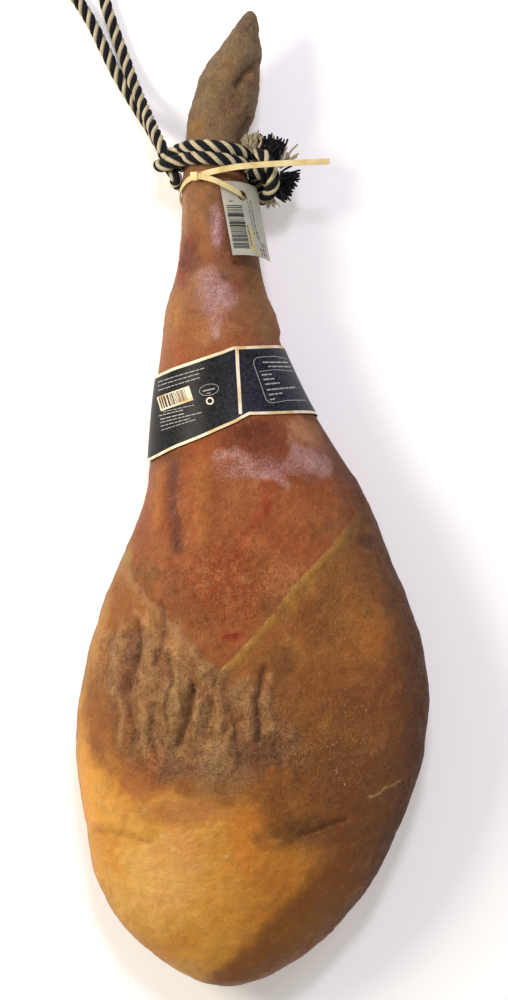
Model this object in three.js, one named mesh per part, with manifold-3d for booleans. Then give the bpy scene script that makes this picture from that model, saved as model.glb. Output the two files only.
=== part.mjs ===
// A whole dry-cured ham with the bone in and the hoof taken off, lying on its rounded outer side.
// A two-colour cotton rope is hitched round its ankle, a nylon cable tie holds a card tag there,
// and a printed card band goes round the shank.
//
// Millimetres. +Z up, +Y from the butt towards the foot, +X to the right as the trimmed side is
// looked at from above. The origin lies on the surface, under the middle of the ham.
import * as THREE from "three";
import { mergeVertices } from "three/addons/utils/BufferGeometryUtils.js";
import Module from "manifold-3d";

const wasm = await Module();
wasm.setup();

// ---- The ham: sizes --------------------------------------------------------------------------
const HAM_LENGTH = 776;
const HAM_WIDTH = 281;
const HAM_THICKNESS = 140; // before its own weight has settled it flat where it lies
const ANKLE_WIDTH = 48;
const ANKLE_THICKNESS = 50;
const ANKLE_SHIFT = -30; // the leg leans to this side of the body's middle
const ANKLE_HEIGHT = 45; // of the ankle's middle, over the surface
const WIDEST_HEIGHT = 0.45; // where a section is widest, as a share of its thickness
const HAM_FACETS = { round: 48, along: 58 };

// ---- What is fastened to it: sizes -----------------------------------------------------------
const ROPE_DIAMETER = 9.6;
const ROPE_FIT = 0.4; // between the rope and what it goes round
const ROPE_SIDES = 8;
const TURN_FACETS = 36;

const TURN_FROM_FOOT = 117; // from the foot's end to the rope turn that is nearer to it
const TURN_LEAN = 4; // how far the front of a turn stands towards the foot
const TURN_TILT = 3; // how far its right side stands towards the butt
const TURN_PRESS = 0.5; // how far the two turns bed into each other
const LOOP_NESTS = 1.1; // how far the loop's start nests between the two turns
const KNOT = { across: 13, along: 36, high: 30, power: 0.8, fit: 1.6, droop: 10 };
const UPPER_END = { neck: 11, mouth: 25, length: 16 };
const LOWER_END = { neck: 16, mouth: 28, length: 13 };
const END_FIT = 0.7; // between the knot and an end

const STRAP = { width: 4.6, thickness: 1.2, underSkinGap: 0.5 };
const STRAP_HEAD = { long: 6.4, wide: 6.6, high: 5 };
const STRAP_HEAD_ANGLE = 119; // degrees round the ankle from the right
const STRAP_TAIL = 105;
const STRAP_TO_ROPE = 5; // from the rope to the middle of the strap's head
const HEAD_PULL = { towardsRope: 18, reach: 95 }; // how far the head draws the strap, in degrees round
const STRAP_FACETS = 72;

const TAG = { width: 39, length: 64, thickness: 0.6, bend: 40 };
const TAG_HOLE = { diameter: 9, fromTop: 12, fromLeft: 17.5 };
const TAG_ANGLE = 50; // degrees round the ankle, at the hole
const TAG_OVER_SKIN = 4.6; // at the hole, to the tag's middle
const STRAP_OVER_TAG = 2; // from the tag's middle to the strap's
const DIVE = 9; // degrees round, either side of the hole, in which the strap goes through it
const LANDS = { from: 104, to: 128 }; // degrees round, where the strap comes back to the skin
const TAG_SWING = -9; // degrees
const TAG_RISE = 17; // degrees, as the leg grows thicker under it

const BAND = { thickness: 0.6, overSkin: 1.2 };
const BAND_FACETS = { round: 60, high: 5 };
const BAND_JOIN = 78; // degrees round the shank, where the strip's two ends are glued
// Round the shank from the join: degrees, and the lower and upper edge, from the foot's end.
const BAND_EDGES = [
  [0, 323.5, 270.5],
  [50, 347, 284.5],
  [102, 359, 291.5],
  [190, 340, 280],
  [282, 322.5, 268.5],
  [360, 323.5, 270.5],
];

// ---- Solids ----------------------------------------------------------------------------------
const degrees = THREE.MathUtils.degToRad;

function solidOf(geometry) {
  const bare = geometry.clone();
  bare.deleteAttribute("normal");
  bare.deleteAttribute("uv");
  const merged = mergeVertices(bare, 1e-4);
  return new wasm.Manifold(
    new wasm.Mesh({
      numProp: 3,
      vertProperties: merged.attributes.position.array,
      triVerts: new Uint32Array(merged.index.array),
    }),
  );
}

function geometryOf(solid) {
  const { vertProperties, triVerts } = solid.getMesh();
  return new THREE.BufferGeometry()
    .setAttribute("position", new THREE.BufferAttribute(vertProperties, 3))
    .setIndex(new THREE.BufferAttribute(triVerts, 1));
}

// Moves each vertex of a three.js shape to place(its own uv and position).
function reshaped(geometry, place) {
  const { position, uv } = geometry.attributes;
  const at = new THREE.Vector3();
  for (let i = 0; i < position.count; i++) {
    at.fromBufferAttribute(position, i);
    const moved = place(uv.getX(i), uv.getY(i), at);
    position.setXYZ(i, moved.x, moved.y, moved.z);
  }
  return geometry;
}

// ---- The ham ---------------------------------------------------------------------------------
// A cross-section of the body, in shares of the ham's width and thickness.
function bodySection(along, middle, width, under, top) {
  return {
    y: along * HAM_LENGTH,
    left: (middle - width / 2) * HAM_WIDTH,
    right: (middle + width / 2) * HAM_WIDTH,
    under: under * HAM_THICKNESS,
    top: top * HAM_THICKNESS,
  };
}

// A cross-section of the leg, in shares of the ankle's; its middle moves by sideways and raised.
function legSection(fromFoot, sideways, raised, width, thickness) {
  const x = ANKLE_SHIFT + sideways;
  const z = ANKLE_HEIGHT + raised;
  return {
    y: HAM_LENGTH - fromFoot,
    left: x - (width * ANKLE_WIDTH) / 2,
    right: x + (width * ANKLE_WIDTH) / 2,
    under: z - (thickness * ANKLE_THICKNESS) / 2,
    top: z + (thickness * ANKLE_THICKNESS) / 2,
  };
}

const sections = [
  bodySection(0, -0.063, 0, 0.35, 0.35),
  bodySection(0.005, -0.062, 0.12, 0.27, 0.42),
  bodySection(0.014, -0.063, 0.25, 0.19, 0.49),
  bodySection(0.05, -0.066, 0.55, 0.055, 0.635),
  bodySection(0.111, -0.05, 0.784, -0.02, 0.745),
  bodySection(0.16, -0.028, 0.874, -0.045, 0.805),
  bodySection(0.209, -0.014, 0.953, -0.063, 0.855),
  bodySection(0.258, -0.004, 0.99, -0.074, 0.897),
  bodySection(0.307, 0.008, 0.981, -0.075, 0.925),
  bodySection(0.355, 0.011, 0.931, -0.07, 0.928),
  bodySection(0.404, 0.009, 0.84, -0.058, 0.908),
  bodySection(0.453, 0.01, 0.725, -0.037, 0.87),
  bodySection(0.502, 0.01, 0.619, -0.006, 0.815),
  legSection(348.5, 22.4, 9.6, 3.06, 2.05),
  legSection(310.5, 12.6, 8.4, 2.52, 1.84),
  legSection(263, 4.7, 9, 1.93, 1.7),
  legSection(248, 4.6, 7.8, 1.87, 1.62),
  legSection(225, 2.8, 6, 1.58, 1.48),
  legSection(206, 3.5, 4.5, 1.38, 1.38),
  legSection(187, 3.1, 3.4, 1.27, 1.28),
  legSection(165, 2.3, 2.2, 1.2, 1.2),
  legSection(144, 0.8, 1.5, 1.13, 1.13),
  legSection(125, 0.3, 0.8, 1.05, 1.06),
  legSection(103, 0.8, 0, 1, 1),
  legSection(87, 4.7, -0.2, 1.1, 1.05),
  legSection(70, 8.3, -1.2, 1.08, 1.07),
  legSection(50, 12.2, -2.2, 0.93, 0.95),
  legSection(35, 18.8, -3, 0.78, 0.8),
  legSection(21, 22.9, -2.7, 0.54, 0.6),
  legSection(9, 27, -2.7, 0.31, 0.4),
  legSection(2.5, 28, -2.7, 0.16, 0.2),
  legSection(0, 28.2, -2.7, 0, 0),
];

// One smooth curve through all the sections for the plan outline, and one for the side outline.
const smooth = (pick) =>
  new THREE.CatmullRomCurve3(
    sections.map((s) => new THREE.Vector3(...pick(s), s.y)),
    false,
    "catmullrom",
    0.5,
  );
const planOutline = smooth((s) => [s.left, s.right]);
const sideOutline = smooth((s) => [s.under, s.top]);

// How full each quarter of a section is: 2 is an ellipse, and more is squarer.
const FULLNESS = { upperRight: 1.85, upperLeft: 2.1, lowerLeft: 2, lowerRight: 1.9 };

// A point of the skin before the ham settles, at a share of the way along and an angle round it
// from the right.
function unsettledSkin(along, angle) {
  const plan = planOutline.getPoint(along);
  const side = sideOutline.getPoint(along);
  const [left, right, y] = plan.toArray();
  const [under, top] = side.toArray();
  const middle = (left + right) / 2;
  const height = under + WIDEST_HEIGHT * (top - under);
  const c = Math.cos(angle);
  const s = Math.sin(angle);
  const quarter = (s < 0 ? "lower" : "upper") + (c < 0 ? "Left" : "Right");
  const power = 2 / FULLNESS[quarter];
  const across = (Math.sign(c) * Math.abs(c) ** power * (right - left)) / 2;
  const up = Math.sign(s) * Math.abs(s) ** power * (s < 0 ? height - under : top - height);
  return new THREE.Vector3(middle + across, y, height + up);
}

// The share of the way along at which the ham is at y.
function alongAt(y) {
  let [low, high] = [0, 1];
  while (high - low > 1e-6) {
    const half = (low + high) / 2;
    if (planOutline.getPoint(half).z < y) low = half;
    else high = half;
  }
  return low;
}

// A point over the skin at y, with the way out of it in the plane of the section.
function overSkin(y, angle, lift) {
  const along = alongAt(y);
  const [before, after] = [-0.02, 0.02].map((step) => unsettledSkin(along, angle + step));
  const out = new THREE.Vector3(after.z - before.z, 0, before.x - after.x).normalize();
  return { point: unsettledSkin(along, angle).addScaledVector(out, lift), out };
}

// A sphere drawn out over the sections, with the underside pressed flat on the surface.
function hamGeometry() {
  const ball = new THREE.SphereGeometry(1, HAM_FACETS.round, HAM_FACETS.along);
  return reshaped(ball, (round, along) => {
    const point = unsettledSkin(along, Math.PI * (1 - 2 * round));
    point.z = Math.max(point.z, 0);
    return point;
  });
}

// ---- Rings and strips round the leg ------------------------------------------------------------
const ALONG_LEG = new THREE.Vector3(0, 1, 0);

// A closed sleeve: place(angle, share of the height, outside) for each corner of its wall.
function sleeve(facetsRound, rows, place) {
  const corners = 2 * rows;
  const ring = new THREE.TorusGeometry(2, 1, corners, facetsRound);
  return reshaped(ring, (round, section) => {
    const corner = Math.round(section * corners) % corners;
    const outside = corner < rows;
    const row = outside ? corner : corners - 1 - corner;
    return place(-2 * Math.PI * round, row / (rows - 1), outside);
  });
}

// ---- The rope ----------------------------------------------------------------------------------
const ropeRadius = ROPE_DIAMETER / 2;
const upperTurnY = HAM_LENGTH - TURN_FROM_FOOT;
const lowerTurnY = upperTurnY - ROPE_DIAMETER + TURN_PRESS;

// The rope's middle, and the way out from the skin, where a turn passes an angle of the ankle.
function turnMiddle(y, angle) {
  const lie = y + TURN_LEAN * Math.sin(angle) - TURN_TILT * Math.cos(angle);
  return overSkin(lie, angle, ropeRadius + ROPE_FIT);
}

function ropeTurn(y) {
  const ring = new THREE.TorusGeometry(2, 1, ROPE_SIDES, TURN_FACETS);
  return reshaped(ring, (round, section) => {
    const turn = 2 * Math.PI * section;
    const { point, out } = turnMiddle(y, -2 * Math.PI * round);
    return point
      .addScaledVector(out, ropeRadius * Math.cos(turn))
      .addScaledVector(ALONG_LEG, ropeRadius * Math.sin(turn));
  });
}

// The loop that the ham hangs by leaves the turns on the ankle's left side, one run over the other.
const LEAVES = new THREE.Vector3(-0.415, 0.91, 0); // the way it leaves
const ACROSS = new THREE.Vector3(0.91, 0.415, 0);
const turnsY = (upperTurnY + lowerTurnY) / 2;
const loopStart = turnMiddle(turnsY, Math.PI).point.add(
  new THREE.Vector3(LOOP_NESTS - ROPE_DIAMETER, 0, 0),
);

function polygon(radius, sides) {
  const points = Array.from({ length: sides }, (_, i) => {
    const angle = (2 * Math.PI * i) / sides;
    return new THREE.Vector2(radius * Math.cos(angle), radius * Math.sin(angle));
  });
  return new THREE.Shape(points);
}

// The loop's route from where it starts: along LEAVES, along ACROSS, and up from where the rope
// lies on the surface.
const LOOP_ROUTE = [
  [3, 0, 45.4],
  [14, 0, 41.9],
  [27, 0, 32.4],
  [40, 0.3, 21.4],
  [54, 0.6, 12.9],
  [68, 1.2, 6.6],
  [86, 2.8, 1.7],
  [106, 4.4, 0],
  [128, 6.4, 0],
  [150, 9.5, 0],
  [170, 14.5, 0],
  [187, 19, 0],
  [203, 20, 0],
  [217, 14.5, 0],
  [223, 0, 0],
  [217, -14.5, 0],
  [203, -20, 0],
  [187, -19.5, 0],
  [168, -15.5, 0],
  [148, -11.2, 0],
  [128, -8.8, 0],
  [106, -8.2, 0],
  [84, -7.6, 0],
  [62, -6.6, 0.2],
  [47, -5, 3.4],
  [32, -3, 13.9],
  [17, -1, 26.4],
  [3, 0, 35.2],
];
const LOOP_STEPS = 78;
const ROPE_OFF_SURFACE = 0.3;

function loopGeometry() {
  const route = LOOP_ROUTE.map(([along, across, raised]) =>
    loopStart
      .clone()
      .setZ(ropeRadius + ROPE_OFF_SURFACE + raised)
      .addScaledVector(LEAVES, along)
      .addScaledVector(ACROSS, across),
  );
  return new THREE.ExtrudeGeometry(polygon(ropeRadius, ROPE_SIDES), {
    extrudePath: new THREE.CatmullRomCurve3(route, false, "centripetal"),
    steps: LOOP_STEPS,
    bevelEnabled: false,
  });
}

// The knot that joins the rope's ends sits against the turns on the ankle's right side.
const knotMiddle = turnMiddle(turnsY, 0).point.add(
  new THREE.Vector3(ropeRadius + KNOT.fit + KNOT.across / 2, -KNOT.droop, 0),
);

function knotGeometry() {
  const rounded = (v) => Math.sign(v) * Math.abs(v) ** KNOT.power;
  const ball = new THREE.SphereGeometry(1, 16, 12);
  return reshaped(ball, (round, along, at) =>
    new THREE.Vector3(
      (rounded(at.x) * KNOT.across) / 2,
      (rounded(at.y) * KNOT.along) / 2,
      (rounded(at.z) * KNOT.high) / 2,
    ).add(knotMiddle),
  );
}

// Each frayed end spreads out from the knot.
function frayedEnd({ neck, mouth, length }) {
  const profile = [
    [0, 0],
    [neck / 2, 0],
    [(neck + mouth) / 4 + 1, length * 0.4],
    [mouth / 2, length * 0.85],
    [mouth / 2.6, length],
    [0, length * 1.04],
  ].map(([r, h]) => new THREE.Vector2(r, h));
  return new THREE.LatheGeometry(profile, 14);
}

// ---- The cable tie and its tag -----------------------------------------------------------------
const strapY = lowerTurnY - ropeRadius - STRAP_TO_ROPE;
const strapMiddleLift = STRAP.underSkinGap + STRAP.thickness / 2;

// How near an angle is to another, from 0 to 1, over a reach in degrees.
function nearness(angle, centre, reach) {
  const away = Math.abs(THREE.MathUtils.euclideanModulo(angle - centre + 180, 360) - 180);
  return 0.5 + 0.5 * Math.cos(Math.PI * Math.min(1, away / reach));
}

// The strap's middle at an angle: it comes over the tag beside the head, and dives through its
// hole to lie on the skin.
function strapPlace(angleInDegrees) {
  const pull = HEAD_PULL.towardsRope * (1 - nearness(angleInDegrees, STRAP_HEAD_ANGLE, HEAD_PULL.reach));
  const over = THREE.MathUtils.smoothstep(angleInDegrees, TAG_ANGLE - DIVE, TAG_ANGLE + DIVE);
  const back = 1 - THREE.MathUtils.smoothstep(angleInDegrees, LANDS.from, LANDS.to);
  const overTag = TAG_OVER_SKIN + STRAP_OVER_TAG;
  const lift = THREE.MathUtils.lerp(strapMiddleLift, overTag, over * back);
  return { y: strapY - pull, lift };
}

function strapRing() {
  return sleeve(STRAP_FACETS, 2, (angle, up, outside) => {
    const turned = THREE.MathUtils.euclideanModulo(THREE.MathUtils.radToDeg(angle), 360);
    const { y, lift } = strapPlace(turned);
    const side = ((outside ? 1 : -1) * STRAP.thickness) / 2;
    return overSkin(y + (up - 0.5) * STRAP.width, angle, lift + side).point;
  });
}

// A strip bent along a curve, its width kept level along widthway.
function stripAlong(curve, width, thickness, steps, widthway) {
  const bar = new THREE.BoxGeometry(1, width, thickness, steps, 1, 1);
  return reshaped(bar, (u, v, at) => {
    const share = at.x + 0.5;
    const ahead = curve.getTangent(share);
    const out = new THREE.Vector3().crossVectors(ahead, widthway).normalize();
    const wide = new THREE.Vector3().crossVectors(out, ahead).normalize();
    return curve.getPoint(share).addScaledVector(wide, at.y).addScaledVector(out, at.z);
  });
}

const headSeat = (() => {
  const { y, lift } = strapPlace(STRAP_HEAD_ANGLE);
  return overSkin(y, degrees(STRAP_HEAD_ANGLE), lift);
})();

function tieGeometry() {
  const head = new THREE.BoxGeometry(STRAP_HEAD.long, STRAP_HEAD.wide, STRAP_HEAD.high);
  const upright = new THREE.Vector3(0, 0, 1);
  head.applyQuaternion(new THREE.Quaternion().setFromUnitVectors(upright, headSeat.out));
  const headMiddle = headSeat.point.clone().addScaledVector(headSeat.out, STRAP_HEAD.high / 4);
  head.translate(...headMiddle.toArray());
  const tailRoute = new THREE.CatmullRomCurve3(
    [
      [0, 0, 0],
      [0.13, 0.03, 6],
      [0.32, 0.062, 10],
      [0.64, 0.085, 11],
      [1, 0.1, 12],
    ].map(([along, up, rise]) =>
      headMiddle
        .clone()
        .add(new THREE.Vector3(along * STRAP_TAIL, up * STRAP_TAIL, rise)),
    ),
  );
  const tail = stripAlong(tailRoute, STRAP.width, STRAP.thickness, 14, ALONG_LEG);
  return geometryOf(solidOf(strapRing()).add(solidOf(head)).add(solidOf(tail)));
}

// The tag's own frame at its hole: across it to the right, down it towards the butt, and out.
function tagFrame() {
  const angle = degrees(TAG_ANGLE);
  const { y } = strapPlace(TAG_ANGLE);
  const seat = overSkin(y, angle, TAG_OVER_SKIN);
  const swing = degrees(TAG_SWING);
  const across = new THREE.Vector3(seat.out.z, 0, -seat.out.x);
  const down = new THREE.Vector3(0, -Math.cos(degrees(TAG_RISE)), 0)
    .addScaledVector(seat.out, Math.sin(degrees(TAG_RISE)));
  const out = new THREE.Vector3().crossVectors(down, across).normalize();
  return {
    hole: seat.point,
    across: across.clone().multiplyScalar(Math.cos(swing)).addScaledVector(down, -Math.sin(swing)),
    down: down.clone().multiplyScalar(Math.cos(swing)).addScaledVector(across, Math.sin(swing)),
    out,
  };
}

function tagGeometry() {
  const { hole, across, down, out } = tagFrame();
  const card = new THREE.BoxGeometry(TAG.width, TAG.length, TAG.thickness, 10, 8, 1);
  const bent = reshaped(card, (u, v, at) => {
    const fromHoleAcross = at.x + TAG.width / 2 - TAG_HOLE.fromLeft;
    const fromHoleDown = TAG.length / 2 - at.y - TAG_HOLE.fromTop;
    const turn = fromHoleAcross / TAG.bend;
    const radius = TAG.bend + at.z;
    return hole
      .clone()
      .addScaledVector(across, radius * Math.sin(turn))
      .addScaledVector(out, radius * Math.cos(turn) - TAG.bend)
      .addScaledVector(down, fromHoleDown);
  });
  const punch = new THREE.CylinderGeometry(
    TAG_HOLE.diameter / 2,
    TAG_HOLE.diameter / 2,
    8 * TAG.thickness,
    20,
  );
  punch.applyQuaternion(new THREE.Quaternion().setFromUnitVectors(ALONG_LEG, out));
  punch.translate(...hole.toArray());
  return geometryOf(solidOf(bent).subtract(solidOf(punch)));
}

// ---- The card band -----------------------------------------------------------------------------
const bandEdges = new THREE.CatmullRomCurve3(
  BAND_EDGES.map((edge) => new THREE.Vector3(...edge)),
  false,
  "catmullrom",
  0.5,
);

// Its lower and upper edge, as distances from the foot's end, at an angle from the join.
function bandEdgesAt(fromJoin) {
  let [low, high] = [0, 1];
  while (high - low > 1e-6) {
    const half = (low + high) / 2;
    if (bandEdges.getPoint(half).x < fromJoin) low = half;
    else high = half;
  }
  const found = bandEdges.getPoint(low);
  return { lower: found.y, upper: found.z };
}

function bandGeometry() {
  return sleeve(BAND_FACETS.round, BAND_FACETS.high + 1, (angle, up, outside) => {
    const turned = THREE.MathUtils.radToDeg(angle) - BAND_JOIN;
    const fromJoin = THREE.MathUtils.euclideanModulo(turned, 360);
    const { lower, upper } = bandEdgesAt(fromJoin);
    const y = HAM_LENGTH - THREE.MathUtils.lerp(lower, upper, up);
    const wall = outside ? BAND.thickness : 0;
    return overSkin(y, angle, BAND.overSkin + wall).point;
  });
}

// ---- Materials ---------------------------------------------------------------------------------
const finish = (color, roughness, metalness = 0) =>
  new THREE.MeshStandardMaterial({ color, roughness, metalness });
const curedSkin = finish("#a8662c", 0.5);
const cotton = finish("#3b3830", 0.9);
const darkCotton = finish("#1b1d26", 0.95);
const rawCotton = finish("#c9b88c", 0.95);
const nylon = finish("#d9c384", 0.45);
const whiteCard = finish("#d8d8d2", 0.6);
const blackCard = finish("#1d2027", 0.5);

// ---- The object --------------------------------------------------------------------------------
const object = new THREE.Group();

function place(name, geometry, material, position = new THREE.Vector3(), turn = null) {
  const mesh = new THREE.Mesh(geometry, material);
  mesh.name = name;
  mesh.position.copy(position);
  if (turn) mesh.quaternion.setFromUnitVectors(ALONG_LEG, turn);
  object.add(mesh);
  return mesh;
}

const ham = place("ham", hamGeometry(), curedSkin);
place("label_band", bandGeometry(), blackCard);
place("cable_tie", tieGeometry(), nylon);
place("hang_tag", tagGeometry(), whiteCard);

place(
  "rope_collar",
  geometryOf(solidOf(ropeTurn(upperTurnY)).add(solidOf(ropeTurn(lowerTurnY)))),
  cotton,
);
place("rope_loop", loopGeometry(), cotton);
place("rope_knot", knotGeometry(), cotton);
place(
  "rope_end_upper",
  frayedEnd(UPPER_END),
  rawCotton,
  knotMiddle.clone().add(new THREE.Vector3(1, KNOT.along / 2 + END_FIT, 4)),
  new THREE.Vector3(0.12, 1, 0).normalize(),
);
place(
  "rope_end_lower",
  frayedEnd(LOWER_END),
  darkCotton,
  knotMiddle.clone().add(new THREE.Vector3(KNOT.across / 2 + END_FIT, -4, 0)),
  new THREE.Vector3(1, -0.05, 0).normalize(),
);

// The origin comes under the middle of the ham.
const middle = new THREE.Box3().setFromObject(ham).getCenter(new THREE.Vector3());
object.position.set(-middle.x, -middle.y, 0);

export default object;
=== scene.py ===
import math
import random

import bmesh
import bpy
import numpy as np
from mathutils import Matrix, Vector, noise
from mathutils.bvhtree import BVHTree


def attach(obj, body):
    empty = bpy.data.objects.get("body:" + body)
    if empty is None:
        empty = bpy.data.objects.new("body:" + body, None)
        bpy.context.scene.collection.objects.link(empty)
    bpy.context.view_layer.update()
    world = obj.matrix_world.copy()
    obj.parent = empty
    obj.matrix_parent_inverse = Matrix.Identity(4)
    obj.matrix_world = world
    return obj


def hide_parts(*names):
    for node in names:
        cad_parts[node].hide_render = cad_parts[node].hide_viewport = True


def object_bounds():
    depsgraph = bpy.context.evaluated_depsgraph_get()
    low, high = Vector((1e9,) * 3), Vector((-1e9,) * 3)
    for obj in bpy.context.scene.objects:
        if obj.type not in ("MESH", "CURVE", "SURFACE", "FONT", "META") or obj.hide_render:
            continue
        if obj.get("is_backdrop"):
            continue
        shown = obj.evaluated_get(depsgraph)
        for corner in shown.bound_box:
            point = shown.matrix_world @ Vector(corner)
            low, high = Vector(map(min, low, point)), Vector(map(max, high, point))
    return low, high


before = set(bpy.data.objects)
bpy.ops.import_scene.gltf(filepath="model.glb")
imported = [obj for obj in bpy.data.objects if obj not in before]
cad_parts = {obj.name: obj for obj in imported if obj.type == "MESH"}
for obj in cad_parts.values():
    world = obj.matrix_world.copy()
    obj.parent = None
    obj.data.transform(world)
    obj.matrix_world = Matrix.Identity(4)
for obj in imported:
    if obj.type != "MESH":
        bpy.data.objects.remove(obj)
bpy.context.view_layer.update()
MM = 0.001

# The view: a ham lying on a plain pale table, seen from straight above, its foot
# and the rope at the top. The lamp stands to the left, so the right flank is in shade.
VIEW_HEIGHT = 790 * MM
VIEW_MIDDLE = (1.2 * MM, -1.6 * MM)
MID_HAM = 55 * MM
LENS = 110.0
FILM = 36.0
TABLE_ACROSS = 8
TABLE_BELOW = 0.4 * MM


def srgb(hex_colour):
    """An sRGB colour as three shares of one, for mixing as paint does."""
    return np.array([int(hex_colour[k:k + 2], 16) / 255 for k in (0, 2, 4)])


def linear(colour):
    """A linear colour from sRGB hex, or from sRGB shares that are mixed already."""
    shares = srgb(colour) if isinstance(colour, str) else colour
    return np.where(shares <= 0.04045, shares / 12.92, ((shares + 0.055) / 1.055) ** 2.4)


def finish_named(name, **shader):
    """A new material: its tree, and its Principled shader with the constant values given."""
    material = bpy.data.materials.new(name)
    material.use_nodes = True
    tree = material.node_tree
    skin = tree.nodes["Principled BSDF"]
    for socket, value in shader.items():
        skin.inputs[socket.replace("_", " ")].default_value = value
    return material, tree, skin


camera_data = bpy.data.cameras.new("camera")
camera_data.lens = LENS
camera_data.sensor_width = FILM
camera_data.clip_end = 20
camera = bpy.data.objects.new("camera", camera_data)
camera.location = (*VIEW_MIDDLE, MID_HAM + VIEW_HEIGHT * LENS / FILM)
bpy.context.scene.collection.objects.link(camera)
bpy.context.scene.camera = camera
bpy.context.scene.view_settings.view_transform = "Standard"


def area_lamp(name, place, aim, size, power, colour):
    """A square lamp, its place, aim and size in metres and its power in watts."""
    lamp = bpy.data.lights.new(name, "AREA")
    lamp.size = size
    lamp.energy = power
    lamp.color = linear(colour)
    stand = bpy.data.objects.new(name, lamp)
    stand.location = place
    stand.rotation_euler = (Vector(aim) - Vector(place)).to_track_quat("-Z", "Y").to_euler()
    bpy.context.scene.collection.objects.link(stand)


area_lamp("window_left", (-1.5, 0.5, 1.35), (0, 0, 0), 0.7, 34, "fff3e0")
area_lamp("sky_above", (0.07, 1.0, 1.95), (0, 0.1, 0.05), 0.30, 16, "f0eaff")
area_lamp("window_far", (1.05, 1.15, 1.7), (0, 0, 0.05), 0.5, 6, "f4eeff")
world = bpy.data.worlds.new("studio")
world.use_nodes = True
world.node_tree.nodes["Background"].inputs["Color"].default_value = (1, 0.95, 0.86, 1)
world.node_tree.nodes["Background"].inputs["Strength"].default_value = 0.33
bpy.context.scene.world = world

bpy.ops.object.select_all(action="DESELECT")
bpy.ops.mesh.primitive_plane_add(size=TABLE_ACROSS, location=(0, 0, -TABLE_BELOW))
table = bpy.context.object
table.name = "table"
# matt white laminate, lit a little from within so that its shadows stay pale
laminate, _, _ = finish_named("pale_table", Roughness=0.9, Emission_Strength=0.22,
                              Base_Color=(0.95, 0.95, 0.95, 1), Emission_Color=(1, 1, 1, 1))
table.data.materials.append(laminate)
table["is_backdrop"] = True


# The ham's smooth form, which the skin is worked from and everything on it is
# laid over. It isn't a piece: only the other pieces are measured from it.
def copy_of(node, name):
    """The CAD node's mesh as one closed shell of four-sided faces, in a new object."""
    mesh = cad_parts[node].data.copy()
    mesh.materials.clear()
    piece = bpy.data.objects.new(name, mesh)
    bpy.context.scene.collection.objects.link(piece)
    only(piece)
    bpy.ops.object.mode_set(mode="EDIT")
    bpy.ops.mesh.select_all(action="SELECT")
    bpy.ops.mesh.remove_doubles(threshold=0.01 * MM)
    bpy.ops.mesh.tris_convert_to_quads()
    bpy.ops.object.mode_set(mode="OBJECT")
    return piece


def only(piece):
    """Selects this piece alone and makes it the active one."""
    bpy.ops.object.select_all(action="DESELECT")
    bpy.context.view_layer.objects.active = piece
    piece.select_set(True)


def modify(piece, kind, **settings):
    """Adds a modifier and applies it."""
    only(piece)
    made = piece.modifiers.new(kind.lower(), kind)
    for name, value in settings.items():
        setattr(made, name, value)
    bpy.ops.object.modifier_apply(modifier=made.name)


def surface_of(piece):
    """The piece's mesh in mm, for casting rays on."""
    mesh = piece.data
    corners = [vertex.co / MM for vertex in mesh.vertices]
    return BVHTree.FromPolygons(corners, [tuple(face.vertices) for face in mesh.polygons])


ham = copy_of("ham", "ham_skin")
modify(ham, "SUBSURF", levels=2, render_levels=2)
ham_form = surface_of(ham)
ANKLE_AXIS = (-29.6, 45.2)


def over_skin(angle, y, lift, axis=ANKLE_AXIS):
    """A point this far off the ham, at a height y, seen at an angle round the leg, in mm."""
    out = Vector((math.cos(math.radians(angle)), 0, math.sin(math.radians(angle))))
    middle = Vector((axis[0], y, axis[1]))
    hit, normal, _, _ = ham_form.ray_cast(middle + out * 300, -out)
    normal = Vector((normal.x, 0, normal.z)).normalized()
    return hit + normal * lift


# The hanging rope: a four-strand laid cotton rope, two strands dyed navy black and
# two left cream, laid right-handed and hard. Its loop is doubled, and ends in a bight.
ROPE_ACROSS = 9.8
LAY_LENGTH = 25.0
LOOP_START = Vector((-68.0, 269.4, 4.8))
LOOP_LEAVES = Vector((-0.415, 0.91, 0)).normalized()
LOOP_ACROSS = Vector((0.91, 0.415, 0)).normalized()
# along the loop, across it, and how high above the table, in mm
LOOP_ROUTE = [
    (3, 0, 45.4), (14, 0, 41.9), (27, 0, 32.4), (40, 0.3, 21.4), (54, 0.6, 12.9),
    (68, 1.2, 6.6), (86, 2.8, 1.7), (106, 4.4, 0), (128, 6.4, 0), (150, 9.5, 0),
    (170, 14.5, 0), (187, 19, 0), (203, 20, 0), (217, 14.5, 0), (223, 0, 0),
    (217, -14.5, 0), (203, -20, 0), (187, -19.5, 0), (168, -15.5, 0), (148, -11.2, 0),
    (128, -8.8, 0), (106, -8.2, 0), (84, -7.6, 0), (62, -5.2, 0.2), (47, -3.4, 3.4),
    (32, -1.6, 13.9), (17, -0.6, 26.4), (3, 0, 35.2),
]


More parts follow.
